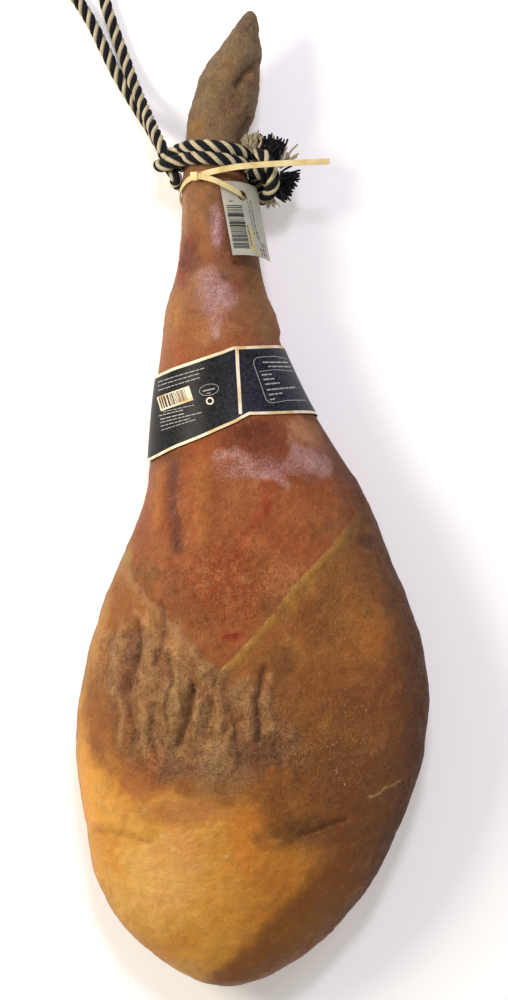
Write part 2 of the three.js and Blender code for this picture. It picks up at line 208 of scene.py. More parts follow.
def smooth_path(points, step=1.2):
    """Evenly spaced points, in mm, on a smooth curve through the points given."""
    knots = [Vector(p) for p in points]
    knots = [2 * knots[0] - knots[1]] + knots + [2 * knots[-1] - knots[-2]]
    dense = []
    for k in range(1, len(knots) - 2):
        p0, p1, p2, p3 = knots[k - 1:k + 3]
        t1 = (p1 - p0).length ** 0.5
        t2 = t1 + (p2 - p1).length ** 0.5
        t3 = t2 + (p3 - p2).length ** 0.5
        for part in range(24):
            t = t1 + (t2 - t1) * part / 24
            a1 = p0.lerp(p1, t / t1)
            a2 = p1.lerp(p2, (t - t1) / (t2 - t1))
            a3 = p2.lerp(p3, (t - t2) / (t3 - t2))
            b1 = a1.lerp(a2, t / t2)
            b2 = a2.lerp(a3, (t - t1) / (t3 - t1))
            dense.append(b1.lerp(b2, (t - t1) / (t2 - t1)))
    dense.append(knots[-2])
    run = [0.0]
    for a, b in zip(dense, dense[1:]):
        run.append(run[-1] + (b - a).length)
    count = max(2, round(run[-1] / step))
    even, at = [], 0
    for k in range(count + 1):
        goal = run[-1] * k / count
        while at < len(run) - 2 and run[at + 1] < goal:
            at += 1
        part = (goal - run[at]) / max(1e-9, run[at + 1] - run[at])
        even.append(dense[at].lerp(dense[at + 1], part))
    return even


def frames_along(path):
    """For each point, the way the path runs and two directions across it that never jump."""
    ways = [(path[min(k + 1, len(path) - 1)] - path[max(k - 1, 0)]).normalized()
            for k in range(len(path))]
    side = ways[0].orthogonal().normalized()
    frames = []
    for way in ways:
        side = (side - way * side.dot(way)).normalized()
        frames.append((way, side, way.cross(side)))
    return frames


# each strand's colour and how many degrees of the rope it takes, and how deep the grooves go
LOBES = [("dark", 104.0), ("cream", 76.0)] * 2
LOBE_CUTS = 9
GROOVE = 0.60


def rope_section():
    """Round the rope, as (angle, share of the radius, which strand), one lobe a strand."""
    section, start = [], 0.0
    for strand, (_, wide) in enumerate(LOBES):
        for cut in range(LOBE_CUTS):
            turn = math.pi * (cut / LOBE_CUTS - 0.5)
            angle = start + wide / 2 + wide / 2 * math.sin(turn)
            section.append((math.radians(angle), GROOVE + (1 - GROOVE) * math.cos(turn), strand))
        start += wide
    return section


def laid_rope(name, route, across=ROPE_ACROSS, phase=0.0, round_ends=True):
    """A length of laid rope along a route in mm, its strands turning round each other."""
    path = smooth_path(route)
    frames = frames_along(path)
    section = rope_section()
    corners, faces, strands, yarns = [], [], [], []
    travelled = 0.0
    for k, (middle, (_, side, up)) in enumerate(zip(path, frames)):
        if k:
            travelled += (path[k] - path[k - 1]).length
        twist = 2 * math.pi * travelled / LAY_LENGTH + math.radians(phase)
        from_end = min(k, len(path) - 1 - k)
        narrow = min(1.0, 0.45 + 0.25 * from_end) if round_ends else 1.0
        for angle, share, _ in section:
            reach = across / 2 * share * narrow
            turn = angle + twist
            out = side * math.cos(turn) + up * math.sin(turn)
            corners.append((middle + out * reach) * MM)
            yarns.append((travelled * MM, turn * across / 2 * MM))
    around = len(section)
    for k in range(len(path) - 1):
        for j in range(around):
            here, there = k * around + j, k * around + (j + 1) % around
            faces.append((here, there, there + around, here + around))
            strands.append(section[j][2])
    faces.append(tuple(reversed(range(around))))
    faces.append(tuple(range((len(path) - 1) * around, len(path) * around)))
    strands += [0, 0]
    mesh = bpy.data.meshes.new(name)
    mesh.from_pydata(corners, [], faces)
    mesh.materials.append(navy_cotton)
    mesh.materials.append(cream_cotton)
    mesh.polygons.foreach_set("material_index", [int(LOBES[s][0] == "cream") for s in strands])
    along = mesh.uv_layers.new(name="yarn")
    for loop in mesh.loops:
        along.data[loop.index].uv = yarns[loop.vertex_index]
    mesh.polygons.foreach_set("use_smooth", [True] * len(faces))
    mesh.update()
    piece = bpy.data.objects.new(name, mesh)
    bpy.context.scene.collection.objects.link(piece)
    return piece, path


def add(tree, kind, links=None, tones=(), **settings):
    """A shader node: its settings, a ramp's tones as (place, hex), and each socket's value or feed."""
    made = tree.nodes.new(kind)
    for name, value in settings.items():
        setattr(made, name, value)
    for k, (at, colour) in enumerate(tones):
        made.color_ramp.elements[k].position = at
        made.color_ramp.elements[k].color = (*linear(colour), 1)
    for socket, value in (links or {}).items():
        if isinstance(value, bpy.types.NodeSocket):
            tree.links.new(value, made.inputs[socket])
        else:
            made.inputs[socket].default_value = value
    return made


def cotton(name, dark, light, sheen):
    """Spun cotton: soft, matt, with fine yarns that catch the light. dark lies between them."""
    material, tree, skin = finish_named(name, Roughness=0.88, Sheen_Weight=sheen,
                                        Specular_IOR_Level=0.2)
    place = add(tree, "ShaderNodeUVMap", uv_map="yarn")
    solid = add(tree, "ShaderNodeTexCoord")
    # a yarn is about 1.1 mm across and runs almost straight along the rope, its fuzz is 1 mm,
    # and handling has dulled it in patches of about 14 mm
    lines = add(tree, "ShaderNodeTexWave", {"Vector": place.outputs["UV"], "Scale": 285.0,
                "Distortion": 2.2, "Detail": 2.0, "Detail Scale": 1.6}, bands_direction="Y")
    fuzz = add(tree, "ShaderNodeTexNoise", {"Vector": solid.outputs["Object"],
               "Scale": 900.0, "Detail": 3.0})
    worn = add(tree, "ShaderNodeTexNoise", {"Vector": solid.outputs["Object"],
               "Scale": 70.0, "Detail": 3.0})
    both = add(tree, "ShaderNodeMix", {"Factor": 0.45, "A": lines.outputs["Fac"],
               "B": fuzz.outputs["Fac"]})
    ramp = add(tree, "ShaderNodeValToRGB", {"Fac": both.outputs[0]},
               tones=((0.2, dark), (0.75, light)))
    tired = add(tree, "ShaderNodeMapRange", {"Value": worn.outputs["Fac"], "From Min": 0.3,
                "From Max": 0.7, "To Min": 0.82, "To Max": 1.12})
    shade = add(tree, "ShaderNodeVectorMath", {0: ramp.outputs["Color"]}, operation="SCALE")
    tree.links.new(tired.outputs[0], shade.inputs["Scale"])
    tree.links.new(shade.outputs[0], skin.inputs["Base Color"])
    bump = add(tree, "ShaderNodeBump", {"Strength": 0.7, "Distance": 0.25 * MM,
               "Height": both.outputs[0]})
    tree.links.new(bump.outputs["Normal"], skin.inputs["Normal"])
    return material


navy_cotton = cotton("navy_cotton_yarn", "050609", "191b24", 0.04)
cream_cotton = cotton("natural_cotton_yarn", "7d6a4a", "e3dab4", 0.2)

loop_route = [LOOP_START + LOOP_LEAVES * along + LOOP_ACROSS * aside + Vector((0, 0, 0.3 + up))
              for along, aside, up in LOOP_ROUTE]
loop, loop_path = laid_rope("hanging_loop", loop_route, phase=35, round_ends=False)
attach(loop, "root")
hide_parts("rope_loop")

# The rope round the ankle: the same rope drawn tight twice round the leg above the
# hock, the front turns touching, and once more low round the back.
ROPE_OFF_SKIN = ROPE_ACROSS / 2 + 0.35
UPPER_TURN = 271.0
LOWER_TURN = 261.9


def turn_at(angle, slot, lift=ROPE_OFF_SKIN):
    """The rope's middle at this angle round the leg. The turns lean up in front."""
    lean = 4 * math.sin(math.radians(angle)) - 3 * math.cos(math.radians(angle))
    return over_skin(angle, slot + lean, lift)


upper_route = [Vector((-72.5, 275, 47)), Vector((-67.5, 271.5, 51))]
upper_route += [turn_at(a, UPPER_TURN) for a in (155, 138, 118, 98, 78, 58, 38, 18, 0, -20)]
upper_route += [turn_at(a, UPPER_TURN - 9.1 * (-20 - a) / 180) for a in range(-40, -181, -20)]
upper_route += [Vector((-70.5, 264.4, 39)), Vector((-73.5, 263.6, 46.5)), Vector((-69, 262.9, 57))]
upper_route += [turn_at(a, LOWER_TURN) for a in (140, 120, 100, 80, 60, 40, 20, 4)]
upper_route += [Vector((2, 254, 32))]
turns, _ = laid_rope("ankle_turns", upper_route, across=10.8, phase=20)
third_route = [Vector((-69.5, 270, 35)), Vector((-66, 262.5, 40.5)), over_skin(170, 253.6, 5.4),
               over_skin(190, 251, 5.4)]
third_route += [over_skin(a, 249, 5.3) for a in range(212, 330, 18)]
third_route += [over_skin(338, 250.5, 5.4), Vector((4.5, 252.5, 36))]
low_turn, _ = laid_rope("low_turn_behind", third_route, phase=10)
for piece, node in ((turns, "rope_collar"), (low_turn, "rope_collar")):
    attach(piece, "root")
    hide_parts(node)

# The knot: the rope's end taken once over both turns at the right of the ankle and
# tucked behind, pulled down hard. Both ends are cut short and have frayed.
knot_route = [(-1, 268, 44), (1.5, 271.5, 55), (7.5, 270, 63.5), (13.2, 262.5, 66.5),
              (16.2, 252.5, 64.5), (15.2, 243.5, 58), (11, 238.5, 50), (7, 238, 41),
              (6, 244, 33.5), (8, 253, 31)]
knot, _ = laid_rope("knot_turn", knot_route, across=10.6, phase=80)
under_route = [(-6, 262, 62), (1, 258, 60), (8.5, 254.5, 56), (12, 250.5, 48), (12, 250, 38)]
tucked, _ = laid_rope("knot_tuck", under_route, phase=140)
stub_up, _ = laid_rope("end_stub_upper", [(5, 256, 42), (9.5, 264, 49), (12, 272, 51)], phase=60)
stub_low, _ = laid_rope("end_stub_lower", [(8, 252, 42), (16, 250, 44), (23, 249, 44)], phase=200)
for piece, node in ((knot, "rope_knot"), (tucked, "rope_knot"), (stub_up, "rope_end_upper"),
                    (stub_low, "rope_end_lower")):
    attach(piece, "root")
    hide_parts(node)


YARN_ACROSS = 1.7


def frayed(name, colour, bunches):
    """Loose yarns, each a thin tube. A bunch is (root, way, spread, reach, how many, how wide)."""
    curve = bpy.data.curves.new(name, "CURVE")
    curve.dimensions = "3D"
    curve.bevel_depth = YARN_ACROSS / 2 * MM
    curve.bevel_resolution = 0
    curve.use_fill_caps = True
    for root, way, spread, reach, count, wide in bunches:
        way = Vector(way).normalized()
        for _ in range(count):
            around = Vector([draw.gauss(0, 1) for _ in range(3)])
            around -= way * around.dot(way)
            start = Vector(root) + around * wide * 0.45
            lean = (way + around * spread).normalized()
            length = reach * draw.uniform(0.72, 1.05)
            curl = Vector([draw.uniform(-1, 1) for _ in range(3)]) * 0.3
            spline = curve.splines.new("POLY")
            spline.points.add(5)
            for step in range(6):
                part = step / 5
                at = start + (lean + curl * part) * length * part
                at += Vector([draw.uniform(-1, 1) for _ in range(3)]) * 0.35
                at.z = max(at.z, 1.0)
                spline.points[step].co = (*(at * MM), 1)
                spline.points[step].radius = 1.0 if step < 5 else 0.8
    piece = bpy.data.objects.new(name, curve)
    bpy.context.scene.collection.objects.link(piece)
    only(piece)
    bpy.ops.object.convert(target="MESH")
    piece = bpy.context.object
    piece.data.materials.clear()
    piece.data.materials.append(colour)
    if not piece.data.uv_layers:
        piece.data.uv_layers.new(name="yarn")
    else:
        piece.data.uv_layers[0].name = "yarn"
    bpy.ops.object.shade_smooth()
    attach(piece, "root")
    return piece


draw = random.Random(7)
navy_tufts = frayed("frayed_navy_yarns", navy_cotton, [
    ((12.5, 267, 53), (0.18, 1, 0.2), 0.13, 17.5, 130, 5.6),
    ((18, 249, 47), (1, -0.55, 0.1), 0.18, 13.5, 130, 5.8),
    ((22, 254, 47), (1, 0.05, 0.1), 0.26, 14.5, 22, 3.0),
])
cream_tufts = frayed("frayed_cream_yarns", cream_cotton, [
    ((0.5, 267, 52), (0.0, 1, 0.3), 0.13, 18.5, 130, 5.4),
    ((21, 262, 50), (0.72, 0.8, 0.2), 0.18, 16, 16, 1.8),
    ((13, 240, 48), (0.15, -1, 0.1), 0.30, 10, 12, 1.6),
])
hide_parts("rope_end_lower")
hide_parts("rope_end_upper")

# The ham: a pig's hind leg, salted and air-dried with its foot on. The rind is left
# on the leg down to a V, and below it the fat is trimmed, rubbed with oil and has aged.
VOXEL = 2.12
# the heights, in mm, that the band and then the rope and tie lie between, where the skin stays smooth
UNDER_BAND = ((16, 26), (124, 132))
UNDER_ROPE = ((226, 233), (284, 292))
RIND_TIP, RIND_SHOULDER = -134, 20
MEAT_FOLDS = (-210, -75)


def smooth_step(low, high, value):
    """0 up to low, 1 from high on, and a soft slope between."""
    t = np.clip((value - low) / (high - low), 0, 1)
    return t * t * (3 - 2 * t)


def near_line(points, at):
    """How far each place is from a line of points seen from above, and which side it is on."""
    best = np.full(len(at), 1e9)
    side = np.zeros(len(at))
    for (ax, ay), (bx, by) in zip(points, points[1:]):
        run = np.array([bx - ax, by - ay], dtype=float)
        off = at - np.array([ax, ay])
        t = np.clip(off @ run / (run @ run), 0, 1)
        gap = np.hypot(*(off - t[:, None] * run).T)
        closer = gap < best
        best[closer] = gap[closer]
        side[closer] = (run[0] * off[:, 1] - run[1] * off[:, 0])[closer]
    return best, np.sign(side)


def cloud(at, size, depth=3, stretch=(1, 1, 1), seed=0.0):
    """Soft noise of about -1 to 1 at each place, with features of this size in mm."""
    lift = Vector((seed * 17.3, seed * 7.1, seed * 3.7))
    scaled = at / (np.array(stretch) * size)
    return np.array([noise.fractal(Vector(p) + lift, 1.0, 2.0, depth) for p in scaled])


modify(ham, "REMESH", mode="VOXEL", voxel_size=VOXEL * MM, use_smooth_shade=True)
modify(ham, "SMOOTH", factor=0.5, iterations=6)
skin_mesh = ham.data
count = len(skin_mesh.vertices)
flat_places = np.empty(count * 3)
skin_mesh.vertices.foreach_get("co", flat_places)
spot = flat_places.reshape(-1, 3) / MM
flat_normals = np.empty(count * 3)
skin_mesh.vertex_normals.foreach_get("vector", flat_normals)
normal = flat_normals.reshape(-1, 3)
plan = spot[:, :2]
front = smooth_step(-0.1, 0.35, normal[:, 2])
x, y = plan.T

big = cloud(spot, 62, 2, seed=1)
mid = cloud(spot, 24, 3, seed=2)
small = cloud(spot, 9, 3, seed=3)
wander = cloud(spot, 14, 3, seed=4)
grainy = cloud(spot, 4.2, 2, seed=5)

# the cut, as two lines from the sides down to the tip of the V: rind above it, trimmed fat below
CUT_LEFT = [(-112, -28), (-97, -42), (-94.5, -60), (-75, -81), (-49, -109), (-25, -133)]
CUT_RIGHT = [(108, 22), (89, -4), (62, -36.5), (39, -61), (16, -88), (-3, -111), (-25, -133)]
left_gap, left_side = near_line(CUT_LEFT, plan + 3.4 * np.stack([wander, small], 1))
right_gap, right_side = near_line(CUT_RIGHT, plan + 1.3 * np.stack([mid, wander], 1))
inside_left = left_side > 0
inside_right = right_side < 0
in_rind = np.where(y > RIND_SHOULDER, True, inside_left & inside_right) & (y > RIND_TIP)
signed_cut = np.where(in_rind, 1, -1) * np.minimum(left_gap, right_gap)
rind = smooth_step(-1.4, 1.4, signed_cut)

# folds, creases and tendons on the front: the line, how wide, and how far raised or sunk, in mm
CREASES = [
    ([(6, 345), (-1, 339), (-8, 332), (-12, 325)], 2.6, -3.0),
    ([(-4, 299), (-8, 291), (-12, 284)], 2.0, -1.7),
    ([(-13, 352), (-20, 341), (-23, 330)], 6.0, 0.9),
    ([(-12, 325), (-14, 312), (-13, 300)], 4.0, -1.0),
    ([(2, 333), (-3, 318), (-4, 306)], 5.0, 1.7),
    ([(-1, 354), (-7, 346), (-14, 336)], 4.0, 1.2),
    ([(-3, 369), (-9, 366)], 3.2, -0.9),
    ([(-27, 322), (-29, 306), (-34, 292)], 6.0, 0.7),
    ([(-89, -94), (-87, -118), (-97, -147)], 3.2, -1.6),
    ([(-99, -98), (-101, -126), (-108, -150)], 4.5, 1.0),
    ([(-80, -86), (-79, -112), (-86, -138)], 4.2, 1.3),
    ([(-70, -80), (-68, -109), (-75, -128)], 2.4, -1.5),
    ([(-58, -103), (-57, -125), (-60, -150)], 3.6, 1.0),
    ([(-45, -147), (-50, -172), (-58, -190)], 3.0, -2.2),
    ([(-52, -140), (-58, -165), (-66, -185)], 4.0, 1.3),
    ([(-38, -128), (-40, -150), (-44, -170)], 3.4, 1.1),
    ([(-28, -137), (-31, -155), (-36, -178)], 2.4, -1.1),
    ([(9, -130), (4, -153), (5, -186)], 2.6, -1.9),
    ([(-2, -138), (-4, -160), (-3, -184)], 3.6, 1.0),
    ([(-18, -160), (-12, -186), (-10, -204)], 2.4, -1.3),
    ([(-92, -88), (-78, -100), (-66, -112), (-52, -128)], 3.6, 1.0),
    ([(-66, -120), (-62, -140), (-68, -164), (-64, -182)], 2.6, -1.0),
    ([(-104, -150), (-100, -170), (-104, -196)], 3.4, 0.8),
    ([(-84, -158), (-86, -178), (-80, -200)], 3.0, 0.9),
    ([(-34, -142), (-26, -160), (-24, -186), (-28, -204)], 3.2, 0.9),
    ([(14, -136), (12, -158), (16, -178)], 3.4, 0.8),
    ([(-56, -196), (-44, -204), (-34, -200)], 2.4, 0.7),
    ([(-97, -160), (-92, -180), (-95, -200)], 2.6, -1.2),
    ([(-76, -160), (-79, -182), (-73, -202)], 2.6, -1.2),
    ([(-122, -261), (-100, -263), (-80, -268)], 2.6, -0.7),
    ([(-124, -253), (-104, -255), (-86, -260)], 4.0, 0.8),
    ([(-110, -281), (-101, -262), (-94, -242)], 2.2, -0.8),
    ([(36, -260), (54, -255), (72, -249)], 2.2, -1.2),
    ([(30, -268), (54, -262), (72, -255)], 6.0, 0.9),
    ([(-62, 20), (-61, -10), (-58, -38)], 5.0, -2.0),
    ([(-70, 24), (-72, 0), (-74, -22)], 5.0, 1.4),
    ([(-41, 28), (-40, 0), (-38, -32)], 7.0, 2.3),
    ([(-28, 26), (-27, 4), (-26, -20)], 4.0, -0.9),
    ([(24, 160), (25, 140), (21, 124)], 7.0, 5.0),
    ([(4, 176), (6, 150), (2, 126)], 6.0, 1.0),
    ([(-50, 160), (-56, 140), (-60, 124)], 6.0, 0.9),
    ([(-50, 24), (-49, 0), (-48, -26)], 4.0, -0.6),
    ([(-25, 214), (-28, 196), (-30, 182)], 6.0, 0.9),
    ([(-44, 236), (-44, 205), (-50, 178)], 5.0, -0.6),
    ([(-22, 176), (-16, 168), (-10, 160)], 4.0, -0.7),
]
lift = 1.1 * big + 0.75 * mid + 0.3 * small
quiet = np.zeros(count)
for low_edge, high_edge in (UNDER_BAND, UNDER_ROPE):
    quiet = np.maximum(quiet, smooth_step(*low_edge, y) * (1 - smooth_step(*high_edge, y)))
dry_meat = np.zeros(count)
for middle, size in (((-88, -130), 42), ((-50, -150), 45), ((-70, -185), 40), ((-5, -165), 34),
                     ((-30, -190), 40), ((20, -190), 28)):
    gap = np.hypot(plan[:, 0] - middle[0], plan[:, 1] - middle[1]) + 9 * wander
    dry_meat = np.maximum(dry_meat, 1 - smooth_step(size * 0.45, size, gap))
dry_meat *= front * (1 - rind)
bent = spot + np.stack([5.5 * mid + 2.0 * wander, 3 * small, np.zeros(count)], 1)
furrows = 1.6 * np.abs(cloud(bent, 15, 3, stretch=(1, 3.2, 1), seed=6)) - 0.35
crests = 1 - smooth_step(0.02, 0.17, np.abs(cloud(bent, 17, 2, stretch=(1, 2.4, 1), seed=12)))
wrinkles = 1 - smooth_step(0.0, 0.12, np.abs(cloud(bent, 7.5, 2, stretch=(1, 1.5, 1), seed=14)))
folds = 1.6 * np.abs(cloud(bent, 7, 2, stretch=(1, 2.2, 1), seed=9)) - 0.3
pebbled = front * (y < -40) * (1 - rind) * smooth_step(-0.2, 0.5, mid + 0.3 * big)
lift += dry_meat * (2.4 * furrows + 0.5 * folds + 1.6 * crests + 0.4 * grainy)
lift += (1 - dry_meat) * (0.16 * grainy + 0.3 * pebbled * folds)
lift += (0.15 + 0.35 * pebbled + 0.3 * rind) * wrinkles * front
for line, wide, deep in CREASES:
    gap, _ = near_line(line, plan + 1.5 * np.stack([mid, wander], 1))
    strength = 1.5 if MEAT_FOLDS[0] < line[0][1] < MEAT_FOLDS[1] else 1.0
    lift += front * deep * strength * np.exp(-(gap / wide) ** 2)
edge = np.exp(-(signed_cut / 1.3) ** 2)
lift += front * rind * 0.7 * np.exp(-np.clip(signed_cut, 0, None) / 14) * (1 - quiet)
on_right = (right_gap < left_gap) & ~in_rind
lift += front * on_right * 0.9 * np.exp(-((right_gap - 3.2) / 2.2) ** 2) * (y < 15)
lift -= front * 0.5 * edge * (y < 15)
foot = smooth_step(286, 300, y)
lift += foot * (0.8 * cloud(spot, 13, 3, seed=8) + 0.3 * grainy)
lift = lift * (1 - quiet) - 0.15 * quiet
spot = spot + normal * lift[:, None]
spot[:, 2] = np.maximum(spot[:, 2], 0)
skin_mesh.vertices.foreach_set("co", (spot * MM).ravel())
skin_mesh.update()


tint = np.tile(srgb("8f6038"), (count, 1))


def paint(mask, hex_colour, strength=1.0):
    """Lays a colour over the skin where the mask is on."""
    part = (np.clip(mask, 0, 1) * strength)[:, None]
    tint[:] = tint * (1 - part) + srgb(hex_colour) * part


def patch(middle, wide, tall, ragged=0.25, turn=0.0):
    """A soft ragged patch on the front, seen from above, in mm. turn is in degrees."""
    c, s = math.cos(math.radians(turn)), math.sin(math.radians(turn))
    dx, dy = plan[:, 0] - middle[0], plan[:, 1] - middle[1]
    gap = np.hypot((dx * c + dy * s) / wide, (dy * c - dx * s) / tall)
    return front * (1 - smooth_step(0.35, 1.15, gap + ragged * (wander + 0.5 * small)))


def streak(points, wide, ragged=0.3):
    """A soft ragged line on the front, in mm."""
    gap, _ = near_line(points, plan + 1.2 * np.stack([mid, wander], 1))
    return front * np.exp(-(gap / wide) ** 2) * np.clip(1 + ragged * small, 0, 1.2)


# along the leg, from the foot down: taupe hoof, brown shank, red-brown rind
for start, end, colour in ((-140, -60, "96592f"), (-60, 60, "9a5630"), (60, 130, "9d5f3c"),
                           (130, 170, "956648"), (170, 215, "8d6044"), (215, 262, "89634a"),
                           (276, 300, "7f6a55"), (300, 385, "7a6b5a")):
    paint(smooth_step(start - 12, start + 12, y + 6 * mid), colour)

# the fat below the cut
below = (1 - rind) * (1 - smooth_step(8, 30, y))
paint(below, "95602f")
paint(below * smooth_step(0.2, 0.9, mid + 0.4 * small), "a97338", 0.6)
golden = 1 - smooth_step(-264, -228, y + 0.33 * x * (x < -10) + 0.55 * np.clip(x, 0, 60)
                         + 9 * wander + 5 * small)
paint(golden, "cc9542")
paint(golden * smooth_step(-0.4, 0.9, big + 0.4 * mid), "dcab5e", 0.7)
paint(patch((-20, -330), 60, 40), "d29a45", 0.5)
paint(golden * smooth_step(-40, 45, x + 0.25 * (y + 320)), "b4762f", 0.75)
paint(patch((-2, -262), 22, 42), "c98334", 0.8)
paint(patch((-76, -300), 38, 46), "e6c07c", 0.7)
paint(patch((-62, -300), 22, 26, 0.6), "dca768", 0.5)
for rim in ((-140, -160), (-138, -190), (-134, -215), (-128, -245)):
    paint(patch(rim, 12, 26), "dba452", 0.85)
paint(patch((-122, -110), 12, 34), "c08a4c", 0.8)

for rim in ((-118, -84), (-128, -112), (-134, -140)):
    paint(patch(rim, 9, 22), "b58f45", 0.6)

for fleck in ((-47, -264), (-60, -246), (-44, -258), (-21, -277), (-83, -241), (-70, -262),
              (-14, -284), (-62, -272)):
    paint(patch(fleck, 2.6, 1.6, 0.8, 30), "f0d9a8", 0.8)
paint(patch((-52, -268), 20, 22, 0.9), "d69c66", 0.5)
paint(golden * smooth_step(0.15, 0.6, small) * smooth_step(-330, -260, y), "e2b272", 0.2)

# the dry meat, grey-brown and wrinkled, left of the middle: its ground, with painted shade in its hollows
# and painted light on its crests, then its own darker and paler patches
paint(dry_meat, "a27a58", 0.9)
paint(dry_meat * smooth_step(0.0, 0.8, mid), "b18b66", 0.6)
paint(dry_meat * smooth_step(0.1, 0.8, -big), "90695a", 0.5)
# painted light on the raised ground and crests, painted shade in the deep furrows and folds
paint(dry_meat * smooth_step(0.05, 0.5, furrows), "b08a64", 0.6)
paint(dry_meat * smooth_step(-0.2, -0.34, furrows), "6a4a36", 0.5)
paint(dry_meat * crests * smooth_step(-0.5, 0.3, mid), "c7a379", 0.6)
paint(dry_meat * smooth_step(-0.15, -0.3, folds), "79583f", 0.3)
paint(patch((-90, -120), 12, 34), "7f5b4c", 0.65)
paint(patch((-64, -112), 10, 26), "9c7355", 0.6)
paint(patch((-85, -218), 24, 20, 0.5), "a0623a", 0.8)
paint(patch((-74, -202), 10, 9), "cc8450", 0.8)
paint(patch((4, -196), 24, 20), "6f4a3b", 0.75)
paint(patch((-30, -215), 34, 22), "a07a58", 0.6)
paint(patch((-2, -172), 14, 26, 0.6), "a27c58", 0.5)
paint(patch((-48, -176), 16, 26, 0.6), "a27a52", 0.45)
paint(patch((-57, -114), 12, 22, 0.6), "b48f68", 0.5)
paint(patch((-82, -150), 12, 30, 0.6), "b08a62", 0.5)
paint(patch((-101, -152), 12, 34, 0.5), "7d5647", 0.5)
paint(patch((-62, -208), 24, 12, 0.6), "8c6656", 0.45)
paint(streak([(-66, -118), (-58, -150), (-64, -186)], 7, 0.8), "b99a6e", 0.45)
paint(patch((-14, -150), 9, 22, 0.6), "8a6a52", 0.5)
paint(patch((-34, -200), 10, 14, 0.6), "b2987c", 0.45)
paint(patch((-55, -243), 40, 14), "ab7146", 0.65)
paint(patch((22, -128), 18, 14), "734a25", 0.75)
paint(patch((24, -160), 20, 30), "8d5e36", 0.6)
paint(dry_meat * smooth_step(-0.1, 0.7, wander + 0.5 * big), "a97563", 0.3)

# the right side below the cut: its own browns, then painted shade, darker towards its right edge and
# right of a soft line, away from the lamp
paint(patch((47, -92), 13, 26), "855023", 0.7)
paint(patch((74, -80), 11, 26, 0.6), "a26a34", 0.75)
paint(patch((94, -100), 26, 34), "b87831", 0.8)
paint(patch((76, -122), 18, 20, 0.6), "a56a33", 0.6)
paint(patch((60, -150), 34, 30), "95592c", 0.7)
paint(patch((88, -34), 10, 8), "5d3018", 0.85)
paint(patch((90, -150), 26, 30), "8c5329", 0.7)
paint(patch((70, -200), 34, 26, 0.5), "8f5e34", 0.7)
paint(patch((60, -215), 40, 26), "85552b", 0.6)
# painted shade at the right edge of the fat below the cut, on this line and the next
paint(front * below * smooth_step(96, 128, x + 5 * mid), "7c4825", 0.75)
paint(patch((90, -240), 40, 34), "7d4a25", 0.7)
paint(patch((38, -258), 36, 14, 0.2, 12), "6b451f", 0.65)
paint(patch((20, -240), 16, 20), "824f24", 0.7)
# painted shade: right of this line, and at the right edge above it, the fat is painted darker with a soft
# edge
SHADE_LINE = [(-42, -388), (-30, -368), (-7, -349), (10, -328), (36, -303), (60, -276), (120, -230)]
shade_gap, shade_side = near_line(SHADE_LINE, plan + 4.0 * np.stack([mid, wander], 1))
painted_shade = smooth_step(-5, 9, -shade_side * shade_gap) * front * (y < -225)
paint(smooth_step(38, 74, x + 7 * mid) * front * smooth_step(-330, -285, y) * (y < -200), "84522a", 0.9)
paint(painted_shade, "7f4f22", 0.85)
paint(painted_shade * smooth_step(0.1, 0.9, mid), "8f5f2a", 0.5)
paint(patch((40, -335), 34, 16, 0.4, 40), "8f6227", 0.5)
paint(patch((20, -300), 20, 20), "bb7c33", 0.6)

# the rind inside the V: red-brown, redder along the middle
inside = rind * (1 - smooth_step(20, 40, y))
paint(inside * smooth_step(0.0, 0.8, -big), "86502f", 0.6)
paint(inside * smooth_step(0.1, 0.8, mid), "a4653c", 0.55)
paint(patch((-18, -64), 34, 34, 0.5) * rind, "a5532f", 0.8)
paint(patch((-18, -64), 34, 34, 0.5) * rind * smooth_step(0.1, 0.6, small), "c88a5c", 0.7)
paint(patch((20, -60), 24, 22, 0.4) * rind, "ab6a42", 0.7)
paint(patch((-10, -95), 22, 20, 0.6) * rind, "ad6238", 0.6)
paint(streak([(27, 46), (14, 14), (11, -10), (-5, -29), (-16, -52)], 6), "943e22", 0.55)
paint(patch((24, -62), 16, 14, 0.7) * rind, "c1805a", 0.55)
paint(patch((-2, -36), 18, 12, 0.8) * rind, "b36a40", 0.5)
paint(patch((-46, -48), 12, 16, 0.7) * rind, "a8663f", 0.5)
paint(patch((-62, -66), 12, 12, 0.6) * rind, "8a5642", 0.5)
paint(patch((34, -10), 18, 16, 0.7) * rind, "a9653f", 0.45)
paint(patch((12, -8), 5, 10, 0.6), "8f3319", 0.5)
paint(patch((-14, -106), 8, 3.4, 0.5), "8e2c1c", 0.85)
paint(patch((-10, 0), 16, 30), "a3623a", 0.5)
paint(streak([(-40, 28), (-39, 0), (-37, -32)], 6), "a96c34", 0.75)
paint(streak([(-28, 24), (-27, 4), (-26, -20)], 4), "8a4a2c", 0.5)
paint(streak([(-51, 26), (-50, 0), (-48, -36)], 5), "9c5a2c", 0.5)
paint(streak([(-71, 24), (-73, 0), (-76, -22)], 5), "b07034", 0.75)
paint(streak([(-62, 24), (-61, -8), (-58, -38)], 5.6), "683c33", 0.95)
paint(patch((-60, -36), 4, 7), "532c28", 0.6)
paint(patch((-84, -58), 14, 12), "7d5a34", 0.6)
paint(patch((55, 15), 34, 26), "93512c", 0.6)
paint(patch((42, 30), 18, 12), "9c5e50", 0.6)
paint(patch((60, -20), 20, 16), "94603a", 0.5)
# painted shadow: the skin below the band painted darker where the band's shadow falls
painted_band_shadow = front * np.exp(-((y - 24) / 12) ** 2) * smooth_step(-20, 20, x)
paint(painted_band_shadow, "6b2f1c", 0.5)
# painted shadow below the band's left end, and below its middle
paint(front * smooth_step(6, 34, y + 4 * wander) * (y < 60) * smooth_step(-60, -80, x), "7a4d34", 0.7)
paint(patch((4, 46), 34, 20), "6d3321", 0.85)
